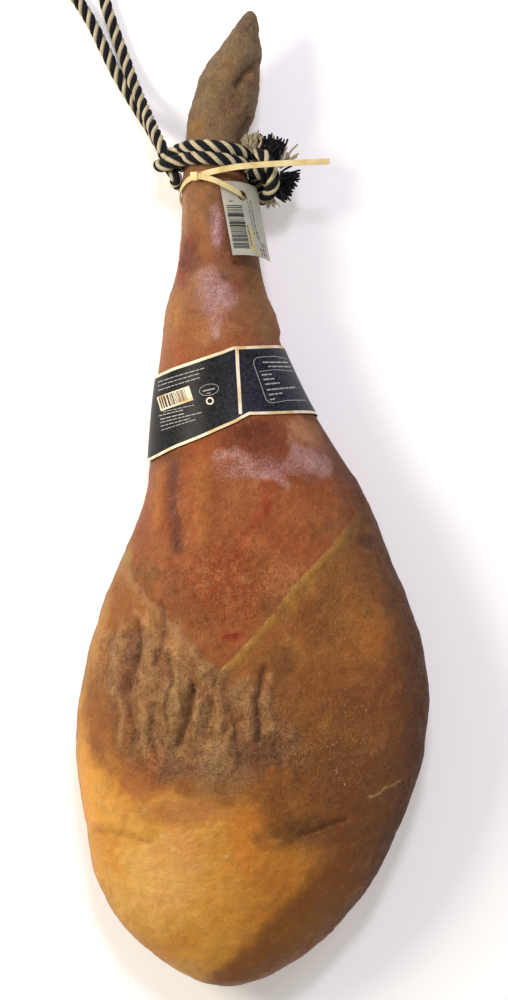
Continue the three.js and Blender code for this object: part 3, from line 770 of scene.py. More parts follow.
# painted highlight: two pale violet patches where the oil shines below the band
paint(patch((4, 22), 26, 9, 0.6), "a8747a", 0.5)
paint(patch((44, 28), 16, 13, 0.6), "a07069", 0.55)
# painted shadow below the band again, at its left end and its middle
paint(patch((-63, 34), 16, 10), "643d2a", 0.6)
paint(patch((-2, 52), 24, 8), "5a2415", 0.4)
paint(patch((42, 52), 17, 12, 0.5), "cf9f88", 0.75)
paint(rind * wrinkles * front * (y < 20) * smooth_step(-0.4, 0.4, mid), "bb7f50", 0.4)
paint(pebbled * wrinkles * (1 - dry_meat) * smooth_step(-0.4, 0.4, wander), "bb8a55", 0.35)

# the cut's edges: a yellowed ridge of fat on the right, a pale torn edge on the left
yellowed = np.exp(-((right_gap - 3.4) / (3.6 + 0.03 * np.clip(x, 0, 80))) ** 2)
paint(front * (y < 22) * on_right * yellowed * (1 + 0.5 * small), "a17a3b", 0.8)
paint(front * (y < 18) * np.exp(-(right_gap / 0.8) ** 2), "d4b170", 0.55)
paint(front * (y < -40) * (~in_rind) * np.exp(-((left_gap - 3) / 5) ** 2)
      * (1 + 0.8 * small), "a98161", 0.65)
paint(front * (y < -40) * np.exp(-(left_gap / 1.0) ** 2) * (y > -132), "7a563e", 0.5)
paint(patch((-98, -45), 5, 10), "a08a45", 0.6)

# the hock and shank
paint(streak([(-56, 238), (-57, 205), (-60, 175)], 4), "b38a60", 0.75)
paint(streak([(-39, 240), (-40, 212), (-37, 190)], 6), "a0693a", 0.7)
paint(streak([(-49, 202), (-53, 184), (-58, 173)], 5), "873a28", 0.8)
paint(patch((-53, 190), 9, 24, 0.4), "8a3c2c", 0.6)
paint(patch((-54, 184), 3.4, 4), "4b201e", 0.8)
paint(patch((-24, 200), 16, 26, 0.5), "84504a", 0.35)
paint(patch((-16, 232), 12, 14, 0.5), "8d5a42", 0.5)
paint(patch((-36, 178), 16, 10, 0.6), "94624a", 0.5)
# painted highlight: a pale violet streak down the shank where its oil shines
paint(streak([(-29, 226), (-28, 212), (-27, 198)], 4), "8b6064", 0.75)
paint(patch((-20, 215), 7, 22), "84524a", 0.5)
# painted highlight: pale violet patches on the hock and shank where the oil shines
paint(patch((-28, 160), 22, 18, 0.5), "96685f", 0.9)
paint(patch((-26, 152), 12, 9, 0.6), "b0868a", 0.5)
paint(patch((-28, 212), 4, 10, 0.6), "9a7484", 0.6)
paint(patch((-49, 188), 11, 22, 0.5), "5c2f26", 0.6)
paint(patch((-34, 228), 10, 16, 0.5), "7a5a45", 0.65)
paint(patch((-30, 129), 14, 13, 0.6), "bd9a84", 0.55)
# painted light: paler on the swell at the hock's right, against the shade of its own form
paint(patch((7, 154), 12, 24, 0.5), "c0926a", 0.75)
# painted glints: fine pale violet specks in the hock's painted highlight
paint(patch((-26, 160), 17, 14, 0.7) * smooth_step(-0.3, 0.3, grainy), "a58896", 0.45)
paint(patch((-22, 173), 8, 4), "683c38", 0.8)
paint(patch((-12, 165), 6, 7), "8b3d30", 0.7)
paint(patch((4, 165), 13, 34), "875c36", 0.75)
paint(patch((-62, 142), 13, 24), "ab7744", 0.7)
paint(patch((-26, 137), 10, 14), "a3685a", 0.6)
paint(patch((-44, 130), 14, 12), "a46c42", 0.6)
paint(patch((10, 130), 7, 10), "97804e", 0.6)

# the foot: grey-brown, scaly, with painted shade in its folds
paint(patch((-6, 373), 7, 6), "6a5456", 0.85)
paint(patch((-20, 340), 9, 14, 0.6), "967348", 0.5)
paint(patch((-19, 308), 12, 14), "84635a", 0.6)
paint(patch((-43, 291), 8, 9), "9b7c44", 0.7)
paint(patch((-2, 330), 7, 14), "806054", 0.6)
# painted shade in the foot's two deep creases
paint(streak([(6, 345), (-1, 339), (-8, 332), (-12, 325)], 2.2), "4a3325", 0.8)
paint(streak([(-4, 299), (-8, 291), (-12, 284)], 2.0), "4a3320", 0.85)
# painted shade along the crease low on the right: a dark line and soft dark patches
paint(streak([(38, -260), (54, -255), (72, -249)], 1.3, 0.8), "3f2512", 0.55)
paint(patch((12, -258), 18, 8, 0.25, 10), "7a5529", 0.3)
paint(patch((40, -258), 30, 8, 0.8, 12), "56391b", 0.4)
paint(streak([(-122, -261), (-100, -263), (-80, -268)], 2.0, 0.8), "a87a38", 0.45)
# painted light on the raised folds of the dry meat and painted shade in its sunk ones
for line, wide, deep in CREASES:
    if MEAT_FOLDS[0] < line[0][1] < MEAT_FOLDS[1]:
        paint(streak(line, 0.62 * wide, 0.8), "c49e74" if deep > 0 else "54372a", 0.55)
# painted shade in two deep creases of the dry meat
paint(streak([(-45, -147), (-50, -172), (-58, -190)], 2.2), "4c2f20", 0.5)
paint(streak([(9, -130), (4, -153), (5, -186)], 1.8), "49301f", 0.6)
paint(streak([(90, -232), (100, -229), (103, -226), (116, -221)], 0.7), "dcbf90", 0.9)

paint(foot * smooth_step(0.1, 0.6, small), "8f7a5c", 0.5)
paint(foot * smooth_step(0.1, 0.7, -wander), "6a5648", 0.4)
paint(foot * wrinkles, "a08c6c", 0.35)
paint(patch((-12, 352), 9, 9, 0.6), "8a7258", 0.6)
paint(patch((-30, 318), 7, 16, 0.6), "7e7050", 0.5)

# the underside and the far edges are plain aged rind and fat
back = 1 - front
paint(back * (1 - smooth_step(-60, 20, y)), "906232", 0.75)
paint(back * smooth_step(0.1, 0.7, mid + 0.3 * small), "7a4d2a", 0.5)
paint(back * smooth_step(0.2, 0.8, big - 0.3 * mid) * (y < 0), "b08446", 0.5)
paint(back * smooth_step(40, 110, x + 10 * mid) * (y < 30), "6f4523", 0.55)
paint(back * smooth_step(-60, 20, y) * (1 - smooth_step(285, 300, y)), "8a5a3a", 0.6)

# painted shade: the right-facing side, less towards the foot and not where it faces down, is painted
# darker, away from the lamp
painted_flank_shade = smooth_step(0.48, 0.95, normal[:, 0] + 0.06 * wander)
painted_flank_shade *= smooth_step(-1.0, -0.35, normal[:, 2] + 0.15 * mid) * (1 - 0.75 * smooth_step(40, 110, y))
paint(painted_flank_shade, "3c1d08", 0.72)
# darker in the small hollows of the relief and paler on its small rises
pits = smooth_step(0.25, 0.7, -small) * front * (1 - quiet) * (1 - 0.9 * golden)
paint(pits, "5f3b22", 0.22)
tops = smooth_step(0.3, 0.8, small) * front * (1 - quiet)
paint(tops, "c99a68", 0.18)

# how oily the skin is, for its gloss: most on the hock and under the band
def oil_and_highlight_smear(points, wide):
    """A smear on the front with a broken edge, in mm: where oil lies for the gloss, and where a highlight
    is painted.
    """
    gap, _ = near_line(points, plan + 2.5 * np.stack([wander, small], 1))
    return front * (1 - smooth_step(0.5, 1.3, gap / wide + 0.3 * small + 0.25 * grainy))


oil = 0.28 + 0.12 * mid
for middle, wide, tall, much in (((-28, 160), 22, 18, 0.75), ((-27, 212), 8, 22, 0.7),
                                 ((0, 25), 36, 14, 0.8), ((45, 28), 20, 18, 0.75),
                                 ((-40, 10), 30, 30, 0.2), ((-10, -60), 50, 40, 0.08),
                                 ((40, -300), 70, 70, 0.1)):
    oil = oil + much * patch(middle, wide, tall)
# each smear's line and half width in mm: more oil for the gloss, and painted paler too, a painted
# highlight with fine painted glints, as a film of oil shows under a soft lamp
oiled_and_highlit_smears = [([(-28, 33), (-10, 35), (-2, 26)], 4.5), ([(2, 18), (18, 17), (27, 10)], 4),
       ([(34, 38), (56, 22)], 8), ([(-33, 170), (-27, 152)], 14), ([(-29, 226), (-28, 200)], 4),
       ([(-12, 236), (-16, 226)], 4), ([(-30, 138), (-27, 128)], 5)]
for points, wide in oiled_and_highlit_smears:
    oil = np.maximum(oil, 0.95 * oil_and_highlight_smear(points, wide))
    paint(oil_and_highlight_smear(points, wide), "b0868f", 0.5)
    paint(oil_and_highlight_smear(points, wide * 0.8) * smooth_step(0.0, 0.4, grainy + 0.4 * small), "dcc4da", 0.3)
oil = np.clip(oil - 0.25 * dry_meat - 0.15 * foot - 0.3 * smooth_step(0.4, 0.9, normal[:, 0]), 0, 1)
# how rugged the skin is, for its relief: most on the dry meat, least on the smooth golden fat
rough_skin = (0.42 + 0.6 * dry_meat + 0.3 * foot + 0.35 * patch((60, -190), 60, 50)
              + 0.5 * rind * patch((-10, -70), 50, 44) + 0.3 * patch((70, -80), 30, 40) - 0.3 * golden)
rough_skin = np.clip(rough_skin, 0, 1)

# yellower all over than it was mixed, because the pale table and the sky lamp cool what they light
YELLOWER = np.array([1.0, 0.93, 0.72])
lit = linear(tint) * YELLOWER
colours = skin_mesh.color_attributes.new("skin_tint", "FLOAT_COLOR", "POINT")
colours.data.foreach_set("color", np.concatenate([lit, np.ones((count, 1))], 1).ravel())
wear = skin_mesh.color_attributes.new("skin_wear", "FLOAT_COLOR", "POINT")
# where crumbs of salt and dry fat still cling
salty = (0.9 * patch((72, -190), 40, 36, 0.5) + 0.3 * rind * patch((-18, -64), 34, 30, 0.5)
         + 0.25 * dry_meat + 0.25 * patch((30, -90), 40, 30, 0.5) + 0.4 * patch((-50, -258), 30, 14, 0.5))
salty = np.clip(salty, 0, 1)
wear.data.foreach_set("color", np.stack([oil, rough_skin, salty, np.ones(count)], 1).ravel())

# Dry-cured rind and fat: a waxy, oily hide, mottled, with fine dry fibres lying along the leg.
cured, tree, skin = finish_named("oiled_cured_rind", IOR=1.45, Specular_IOR_Level=0.27,
                                 Subsurface_Weight=0.04, Subsurface_Scale=0.6,
                                 Subsurface_Radius=(6 * MM, 2.5 * MM, 1.2 * MM))
place = add(tree, "ShaderNodeTexCoord").outputs["Object"]
paint_in = add(tree, "ShaderNodeVertexColor", layer_name="skin_tint")
wear_in = add(tree, "ShaderNodeVertexColor", layer_name="skin_wear")
wear_parts = add(tree, "ShaderNodeSeparateColor", {"Color": wear_in.outputs["Color"]})
oily, rugged, salty_part = [wear_parts.outputs[part] for part in ("Red", "Green", "Blue")]
long_ways = add(tree, "ShaderNodeMapping", {"Vector": place, "Scale": (1.0, 0.62, 1.0)})
# blotches about 9 mm, fibres 1.5 mm across and lying a little along the leg, grains 1 mm
blotch = add(tree, "ShaderNodeTexNoise", {"Vector": place, "Scale": 110.0, "Detail": 5.0,
             "Roughness": 0.62})
fibre = add(tree, "ShaderNodeTexNoise", {"Vector": long_ways.outputs[0], "Scale": 520.0,
            "Detail": 4.0, "Distortion": 0.6})
grain = add(tree, "ShaderNodeTexNoise", {"Vector": place, "Scale": 950.0, "Detail": 3.0})
blotch_shade, fibre_shade, grain_shade = [
    add(tree, "ShaderNodeMapRange", {"Value": pattern.outputs["Fac"], "From Min": 0.3,
        "From Max": 0.7, "To Min": darkest, "To Max": palest}).outputs[0]
    for pattern, darkest, palest in ((blotch, 0.89, 1.1), (fibre, 0.97, 1.03), (grain, 0.93, 1.07))]
shade = blotch_shade
for finer in (fibre_shade, grain_shade):
    shade = add(tree, "ShaderNodeMath", {0: shade, 1: finer}, operation="MULTIPLY").outputs[0]
mottled = add(tree, "ShaderNodeVectorMath", {0: paint_in.outputs["Color"], "Scale": shade},
              operation="SCALE")
warmer = add(tree, "ShaderNodeTexNoise", {"Vector": place, "Scale": 46.0, "Detail": 4.0})
warm_part = add(tree, "ShaderNodeMapRange", {"Value": warmer.outputs["Fac"], "From Min": 0.45,
                "From Max": 0.75, "To Min": 0.0, "To Max": 0.28})
warmed = add(tree, "ShaderNodeMix", {"Factor": warm_part.outputs[0], "A": mottled.outputs[0],
             "B": (*linear("f2b48c"), 1)}, data_type="RGBA", blend_type="MULTIPLY")
# pale crumbs of dry fat and salt, 1 to 2 mm, where the surface is rough
crumbs = add(tree, "ShaderNodeTexNoise", {"Vector": place, "Scale": 520.0, "Detail": 3.0,
             "Roughness": 0.75, "Distortion": 1.8})
crumb_part = add(tree, "ShaderNodeMapRange", {"Value": crumbs.outputs["Fac"], "From Min": 0.55,
                 "From Max": 0.63, "To Min": 0.0, "To Max": 0.6})
crumb_mask = add(tree, "ShaderNodeMath", {0: crumb_part.outputs[0], 1: rugged},
                 operation="MULTIPLY")
# painted glints: where the oil lies thick, fine pale violet specks are painted into the colour, a painted
# highlight for beads of oil catching the sky
painted_glint_zone = add(tree, "ShaderNodeMapRange", {"Value": oily, "From Min": 0.5, "From Max": 1.0,
                "To Min": 0.0, "To Max": 0.3})
painted_glint = add(tree, "ShaderNodeMapRange", {"Value": grain.outputs["Fac"], "From Min": 0.46,
           "From Max": 0.68, "To Min": 0.0, "To Max": 1.0})
painted_glint_mask = add(tree, "ShaderNodeMath", {0: painted_glint_zone.outputs[0], 1: painted_glint.outputs[0]},
                operation="MULTIPLY")
# a few brighter grains of salt, 1 mm across
salt = add(tree, "ShaderNodeTexNoise", {"Vector": place, "Scale": 470.0, "Detail": 1.0,
           "Distortion": 0.6})
salt_part = add(tree, "ShaderNodeMapRange", {"Value": salt.outputs["Fac"], "From Min": 0.68,
                "From Max": 0.75, "To Min": 0.0, "To Max": 0.85})
salt_mask = add(tree, "ShaderNodeMath", {0: salt_part.outputs[0], 1: salty_part},
                operation="MULTIPLY")
# fine dark lines where the dried skin has drawn together, about 8 mm apart, drawn over the rest
drawn = add(tree, "ShaderNodeTexNoise", {"Vector": long_ways.outputs[0], "Scale": 120.0,
            "Detail": 5.0, "Roughness": 0.6, "Distortion": 1.6})
line_near = add(tree, "ShaderNodeMath", {0: drawn.outputs["Fac"], 1: 0.5}, operation="SUBTRACT")
line_off = add(tree, "ShaderNodeMath", {0: line_near.outputs[0]}, operation="ABSOLUTE")
line_part = add(tree, "ShaderNodeMapRange", {"Value": line_off.outputs[0], "From Min": 0.0,
                "From Max": 0.022, "To Min": 0.6, "To Max": 0.0})
line_mask = add(tree, "ShaderNodeMath", {0: line_part.outputs[0], 1: rugged},
                operation="MULTIPLY")
covered = warmed.outputs["Result"]
for mask, colour, way in ((crumb_mask, "dab384", "MIX"), (painted_glint_mask, "dccadf", "MIX"),
                          (salt_mask, "e2c696", "MIX"), (line_mask, "96705a", "MULTIPLY")):
    covered = add(tree, "ShaderNodeMix", {"Factor": mask.outputs[0], "A": covered,
                  "B": (*linear(colour), 1)}, data_type="RGBA", blend_type=way).outputs["Result"]
tree.links.new(covered, skin.inputs["Base Color"])
gloss = add(tree, "ShaderNodeMapRange", {"Value": oily, "From Min": 0.0, "From Max": 1.0,
            "To Min": 0.62, "To Max": 0.17})
gloss_mix = add(tree, "ShaderNodeMath", {0: gloss.outputs[0], 1: blotch_shade},
                operation="MULTIPLY")
tree.links.new(gloss_mix.outputs[0], skin.inputs["Roughness"])
fine_height = add(tree, "ShaderNodeMath", {0: fibre.outputs["Fac"], 1: 0.4,
                  2: grain.outputs["Fac"]}, operation="MULTIPLY_ADD")
height = add(tree, "ShaderNodeMath", {0: fine_height.outputs[0], 1: rugged},
             operation="MULTIPLY").outputs[0]
# the hide's own grain: a net of small cells 3 mm across, their edges sunken
bent_place = add(tree, "ShaderNodeVectorMath", {0: place}, operation="ADD")
bend = add(tree, "ShaderNodeTexNoise", {"Vector": place, "Scale": 140.0, "Detail": 2.0})
bend_small = add(tree, "ShaderNodeVectorMath", {0: bend.outputs["Color"], "Scale": 7 * MM},
                 operation="SCALE")
tree.links.new(bend_small.outputs[0], bent_place.inputs[1])
cells = add(tree, "ShaderNodeTexVoronoi", {"Vector": bent_place.outputs[0], "Scale": 300.0},
            feature="DISTANCE_TO_EDGE")
cell_top = add(tree, "ShaderNodeMapRange", {"Value": cells.outputs["Distance"], "From Min": 0.0,
               "From Max": 0.16, "To Min": 0.0, "To Max": 0.6})
cell_part = add(tree, "ShaderNodeMath", {0: cell_top.outputs[0], 1: rugged},
                operation="MULTIPLY")
pitted = add(tree, "ShaderNodeTexNoise", {"Vector": place, "Scale": 260.0, "Detail": 6.0,
             "Roughness": 0.7, "Distortion": 0.8})
for raised, much in ((blotch.outputs["Fac"], 0.7), (pitted.outputs["Fac"], 0.55),
                     (line_mask.outputs[0], -0.35), (crumb_mask.outputs[0], 0.5),
                     (cell_part.outputs[0], 0.35)):
    height = add(tree, "ShaderNodeMath", {0: raised, 1: much, 2: height},
                 operation="MULTIPLY_ADD").outputs[0]
relief = add(tree, "ShaderNodeBump", {"Strength": 1.0, "Distance": 1.5 * MM, "Height": height})
tree.links.new(relief.outputs["Normal"], skin.inputs["Normal"])
ham.data.materials.clear()
ham.data.materials.append(cured)
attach(ham, "root")
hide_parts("ham")

# The label: a band of black varnished card round the leg above the hock's swell, its
# edges printed cream, its ends lapped and glued where the cream upright rule is.
band = copy_of("label_band", "card_band")
RULE_WIDE = 2.3
LEG_MIDDLE = Vector((-14, 75, 45)) * MM
shell = bmesh.new()
shell.from_mesh(band.data)
for face in shell.faces:
    out = face.calc_center_median() - LEG_MIDDLE
    out.y = 0
    face.select_set(abs(face.normal.y) < 0.7 and face.normal.dot(out.normalized()) > 0.3)
    face.material_index = int(face.select)
shell.to_mesh(band.data)
shell.free()
only(band)
bpy.ops.object.mode_set(mode="EDIT")
bpy.ops.mesh.inset(use_boundary=True, use_even_offset=True, thickness=RULE_WIDE * MM)
bpy.ops.object.mode_set(mode="OBJECT")
for face in band.data.polygons:
    if face.select:
        face.material_index = 0
bpy.ops.object.shade_smooth_by_angle(angle=math.radians(40))
band_form = surface_of(band)
# black print under varnish: a low soft sheen, scuffed in spots of about 2 mm, and painted paler and bluer
# towards the right: a painted reflection
card, tree, skin = finish_named("black_varnished_card", Roughness=0.44, IOR=1.5,
                                Specular_IOR_Level=0.15)
place = add(tree, "ShaderNodeTexCoord").outputs["Object"]
scuff = add(tree, "ShaderNodeTexNoise", {"Vector": place, "Scale": 420.0, "Detail": 6.0,
            "Roughness": 0.75})
scuff_tone = add(tree, "ShaderNodeValToRGB", {"Fac": scuff.outputs["Fac"]},
                 tones=((0.42, "090a0b"), (0.78, "34373a")))
sides = add(tree, "ShaderNodeSeparateXYZ", {"Vector": place})
painted_reflection_part = add(tree, "ShaderNodeMapRange", {"Value": sides.outputs["X"], "From Min": -30 * MM,
            "From Max": 20 * MM, "To Min": 0.0, "To Max": 1.0})
painted_reflection_tint = add(tree, "ShaderNodeMix", {"Factor": painted_reflection_part.outputs[0], "A": scuff_tone.outputs["Color"],
             "B": (1.9, 2.0, 2.9, 1)}, data_type="RGBA", blend_type="MULTIPLY")
tree.links.new(painted_reflection_tint.outputs["Result"], skin.inputs["Base Color"])
press = add(tree, "ShaderNodeBump", {"Strength": 0.25, "Distance": 0.1 * MM,
            "Height": scuff.outputs["Fac"]})
tree.links.new(press.outputs["Normal"], skin.inputs["Normal"])
band.data.materials.append(card)
# cream ink, matt, yellowed by the oil in patches of about 13 mm
print_cream, tree, skin = finish_named("cream_card_print", Roughness=0.5)
place = add(tree, "ShaderNodeTexCoord").outputs["Object"]
age = add(tree, "ShaderNodeTexNoise", {"Vector": place, "Scale": 75.0, "Detail": 4.0})
age_tone = add(tree, "ShaderNodeValToRGB", {"Fac": age.outputs["Fac"]},
               tones=((0.38, "d9b679"), (0.56, "ece2c6")))
tree.links.new(age_tone.outputs["Color"], skin.inputs["Base Color"])
band.data.materials.append(print_cream)
# the fine print's ink, too small to show more than its one colour
print_grey, _, _ = finish_named("grey_fine_print", Roughness=0.5,
                                Base_Color=(*linear("a9a8a4"), 1))
print_black, _, _ = finish_named("black_bar_print", Roughness=0.6,
                                 Base_Color=(*linear("1b1c1e"), 1))
PRINT_THICK = 0.08
PRINT_STEP = 1.5


def drop_on(form):
    """Puts a mark's corner, given from above in mm, on the surface under it."""
    def seat(a, b, off):
        hit, out, _, _ = form.ray_cast(Vector((a, b, 300)), Vector((0, 0, -1)))
        return hit + out * off
    return seat


def printed(name, marks, seat, ink, off=0.06):
    """Ink marks: each a run of points and how wide it is, laid where seat puts them."""
    corners, faces = [], []
    for points, wide in marks:
        run = [Vector(points[0])]
        for a, b in zip(points, points[1:]):
            a, b = Vector(a), Vector(b)
            pieces = max(1, math.ceil((b - a).length / PRINT_STEP))
            run += [a.lerp(b, k / pieces) for k in range(1, pieces + 1)]
        ring = (run[0] - run[-1]).length < 0.01
        for k, at in enumerate(run):
            before = run[k - 1] if k else (run[-2] if ring else at)
            after = run[k + 1] if k + 1 < len(run) else (run[1] if ring else at)
            way = (after - before).normalized()
            aside = Vector((-way.y, way.x)) * wide / 2
            cuts = max(1, math.ceil(wide / PRINT_STEP))
            corners += [seat(*(at + aside * (1 - 2 * c / cuts)), off) for c in range(cuts + 1)]
            if k:
                last = len(corners) - 1
                for c in range(cuts):
                    here, there = last - c, last - c - cuts - 1
                    faces.append((there - 1, there, here, here - 1))
    mesh = bpy.data.meshes.new(name)
    mesh.from_pydata([c * MM for c in corners], [], faces)
    mesh.materials.append(ink)
    piece = bpy.data.objects.new(name, mesh)
    bpy.context.scene.collection.objects.link(piece)
    modify(piece, "SOLIDIFY", thickness=PRINT_THICK * MM, offset=1.0)
    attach(piece, "root")
    return piece


def words(start, end, high, gaps, seed):
    """A line of print as plain dashes of uneven length, from start to end."""
    pick = random.Random(seed)
    start, end = Vector(start), Vector(end)
    long = (end - start).length
    marks, at = [], 0.0
    while at < long - 1.0:
        dash = pick.uniform(2.0, 5.0)
        stop = min(long, at + dash)
        marks.append(([tuple(start.lerp(end, at / long)), tuple(start.lerp(end, stop / long))], high))
        at = stop + gaps
    return marks


def oval(middle, wide, tall, turn, steps=36):
    """The points round an oval, its half width and height in mm and its turn in degrees."""
    c, s = math.cos(math.radians(turn)), math.sin(math.radians(turn))
    ring = [(wide * math.cos(2 * math.pi * k / steps), tall * math.sin(2 * math.pi * k / steps))
            for k in range(steps + 1)]
    return [(middle[0] + a * c - b * s, middle[1] + a * s + b * c) for a, b in ring]


on_band = drop_on(band_form)
upright = [([(-12.2, 117.2), (-11.4, 100), (-10.2, 82), (-9.3, 65.0)], 2.6)]
printed("band_upright_rule", upright, on_band, print_cream)
code_low, code_high = Vector((-73.3, 73.4)), Vector((-47.6, 81.6))
printed("band_code_box", [([tuple(code_low), tuple(code_high)], 11.6)], on_band, print_cream)
code_way = (code_high - code_low).normalized()
code_up = Vector((-code_way.y, code_way.x))
draw = random.Random(11)
# plain bars at uneven steps, with a pale margin at both ends, that stand for no code
CODE_MARGINS = (1.8, 23.5)
code_bars, reach = [], CODE_MARGINS[0]
while reach < CODE_MARGINS[1]:
    wide = draw.choice([0.35, 0.35, 0.6, 0.95])
    foot_at = code_low + code_way * reach
    code_bars.append(([tuple(foot_at - code_up * 4.4), tuple(foot_at + code_up * 5.0)], wide))
    reach += wide + draw.choice([0.45, 0.6, 0.9])
printed("band_code_bars", code_bars, on_band, print_black, off=0.26)
left_lines = []
for seed, (start, end, high) in enumerate((
        ((-74.0, 90.9), (-37.2, 100.8), 0.62), ((-74.2, 87.8), (-40.4, 96.8), 0.62),
        ((-73.8, 84.3), (-40.9, 93.4), 0.62), ((-69.8, 67.2), (-45.1, 72.2), 0.5),
        ((-73.1, 64.3), (-53.0, 68.6), 0.75), ((-72.1, 61.4), (-52.1, 65.8), 0.75),
        ((-72.1, 58.8), (-39.0, 66.4), 0.62), ((-71.7, 56.0), (-48.8, 61.6), 0.62),
        ((-71.2, 52.9), (-43.7, 60.9), 0.5))):
    left_lines += words(start, end, high, 0.7, seed)
left_lines.append((oval((-33.7, 83.9), 7.6, 4.3, 12), 0.35))
left_lines.append(([(-38.5, 82.8), (-29.2, 84.9)], 0.9))
left_lines.append(([(-35.4, 80.9), (-32.6, 81.5)], 0.6))
printed("band_left_print", left_lines, on_band, print_grey)
printed("band_ring_mark", [(oval((-33.0, 75.2), 2.5, 2.4, 0, 28), 1.1)], on_band, print_cream)
frame_line = [(42, 76.9), (27.6, 76.2), (15.4, 73.8), (12.4, 74.6), (10.4, 76.8), (0.9, 104.0),
              (1.0, 106.6), (2.4, 108.6), (5.2, 109.6), (17.3, 110.8), (27.1, 109.4)]
right_lines = [(frame_line, 0.45), ([(5.2, 98.2), (16.4, 100.1), (31.8, 99.9)], 0.4)]
for seed, (start, end, high) in enumerate((
        ((8.0, 105.6), (28.0, 106.6), 1.1), ((12.2, 102.5), (29.9, 103.2), 1.0),
        ((7.1, 95.7), (16.4, 96.6), 1.1), ((8.5, 92.1), (16.9, 93.0), 1.1),
        ((9.9, 88.4), (21.1, 89.8), 1.1), ((11.3, 84.0), (33.2, 86.8), 1.1),
        ((12.7, 80.2), (23.4, 81.8), 1.1), ((13.6, 76.4), (17.8, 77.2), 1.0))):
    right_lines += words(start, end, high, 0.6, 20 + seed)
printed("band_right_print", right_lines, on_band, print_grey)
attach(band, "root")
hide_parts("label_band")

# The tie: a nylon cable tie drawn tight round the leg under the rope, through the tag's
# hole, its long tail left on. It has yellowed with age and oil.
tie = copy_of("cable_tie", "nylon_tie")
only(tie)
bpy.ops.object.shade_smooth_by_angle(angle=math.radians(40))
# moulded nylon: waxy, with a soft sheen, letting a little light in, stained in clouds of 11 mm
nylon, tree, skin = finish_named("yellowed_nylon", Roughness=0.42, IOR=1.53,
                                 Subsurface_Weight=0.25,
                                 Subsurface_Radius=(2 * MM, 1.6 * MM, 0.9 * MM))
place = add(tree, "ShaderNodeTexCoord").outputs["Object"]
stain = add(tree, "ShaderNodeTexNoise", {"Vector": place, "Scale": 90.0, "Detail": 4.0})
stain_tone = add(tree, "ShaderNodeValToRGB", {"Fac": stain.outputs["Fac"]},
                 tones=((0.35, "c3ab66"), (0.7, "dfd39c")))
tree.links.new(stain_tone.outputs["Color"], skin.inputs["Base Color"])
tie.data.materials.append(nylon)
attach(tie, "root")
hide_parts("cable_tie")

# The tag: a white card tag that hangs on the tie, bent a little by the damp. Its print
# is plain bars and rules.
tag = copy_of("hang_tag", "card_tag")
only(tag)
bpy.ops.object.shade_smooth_by_angle(angle=math.radians(40))
# uncoated card: matt, gone grey and yellow with damp in clouds of about 17 mm
white, tree, skin = finish_named("uncoated_white_card", Roughness=0.75)
place = add(tree, "ShaderNodeTexCoord").outputs["Object"]
damp = add(tree, "ShaderNodeTexNoise", {"Vector": place, "Scale": 60.0, "Detail": 4.0})
damp_tone = add(tree, "ShaderNodeValToRGB", {"Fac": damp.outputs["Fac"]},
                tones=((0.35, "a3a498"), (0.65, "b9b8a0")))
tree.links.new(damp_tone.outputs["Color"], skin.inputs["Base Color"])
tag.data.materials.append(white)
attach(tag, "root")
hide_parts("hang_tag")
# the hole's place, the bend's radius and the thickness in mm
TAG_HOLE = Vector((-8.25, 237.23, 70.89))
TAG_BEND = 40.0
TAG_THICK = 0.6
# the solid card faces this way round the leg, rises with it and swings out, in degrees
CARD_FACES, CARD_RISE, CARD_SWING = [math.radians(a) for a in (45.745, 17, -9)]
facing = Vector((math.cos(CARD_FACES), 0, math.sin(CARD_FACES)))
level = Vector((facing.z, 0, -facing.x))
falling = Vector((0, -math.cos(CARD_RISE), 0)) + facing * math.sin(CARD_RISE)
CARD_OUT = falling.cross(level)
CARD_ACROSS = level * math.cos(CARD_SWING) - falling * math.sin(CARD_SWING)
CARD_DOWN = falling * math.cos(CARD_SWING) + level * math.sin(CARD_SWING)
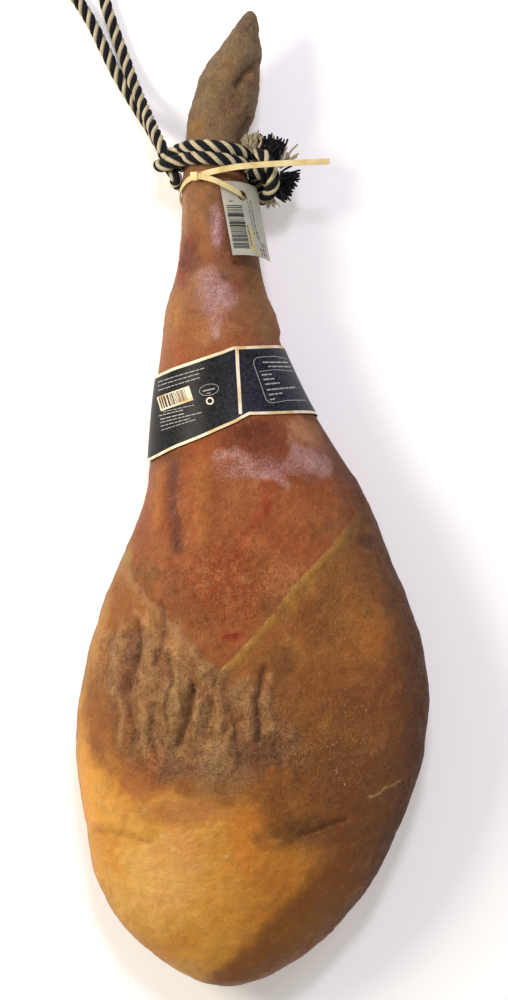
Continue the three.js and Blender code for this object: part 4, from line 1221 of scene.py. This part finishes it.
# and the card tag hangs like this, a little further round
TAG_DOWN = Vector((0.168, -0.93, 0.325)).normalized()
TAG_ACROSS = Vector((0.81, -0.16, -0.55))
TAG_ACROSS = (TAG_ACROSS - TAG_DOWN * TAG_ACROSS.dot(TAG_DOWN)).normalized()
TAG_OUT = TAG_DOWN.cross(TAG_ACROSS)


def on_tag(across, down, off):
    """A place on the tag's face, measured from its hole in mm."""
    turn = across / TAG_BEND
    radius = TAG_BEND + TAG_THICK / 2 + off
    return (TAG_HOLE + TAG_ACROSS * radius * math.sin(turn) + TAG_DOWN * down
            + TAG_OUT * (radius * math.cos(turn) - TAG_BEND))


for corner in tag.data.vertices:
    seen = corner.co / MM - TAG_HOLE
    across, out = seen.dot(CARD_ACROSS), seen.dot(CARD_OUT) + TAG_BEND
    turn, radius = math.atan2(across, out), math.hypot(across, out)
    place = on_tag(turn * TAG_BEND, seen.dot(CARD_DOWN), radius - TAG_BEND - TAG_THICK / 2)
    corner.co = place * MM
tag.data.update()
draw = random.Random(5)
TAG_BARS = (9.5, 47)
tag_bars, reach = [], TAG_BARS[0]
while reach < TAG_BARS[1]:
    wide = draw.choice([0.45, 0.45, 0.8, 1.2])
    tag_bars.append(([(-15.6, reach), (-2.0, reach)], wide))
    reach += wide / 2 + draw.choice([0.7, 0.85, 1.2])
tag_bars.append(([(-12.5, 5.6), (-9.4, 5.6)], 0.8))
for seed, (across, start, end, high) in enumerate(((-0.4, 26, 44, 0.8), (4.4, 0, 34, 0.45),
        (7.4, 3, 38, 0.75), (9.8, 30, 42, 0.6), (9.6, 44, 50, 0.9), (12.6, 40, 50.5, 1.1),
        (15.4, 38, 50, 0.6))):
    tag_bars += words((across, start), (across + 0.8, end), high, 0.9, 40 + seed)
printed("tag_print", tag_bars, on_tag, print_black, off=0.12)
# oil that has soaked into the card beside the print
print_yellow, _, _ = finish_named("yellow_oil_stain", Roughness=0.6,
                                  Base_Color=(*linear("b9ad74"), 1))
printed("tag_stain", [([(1.2, 27), (1.6, 36), (1.2, 47)], 4.4), ([(-1, 46), (8, 50)], 2.2)],
        on_tag, print_yellow, off=0.02)

low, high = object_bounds()
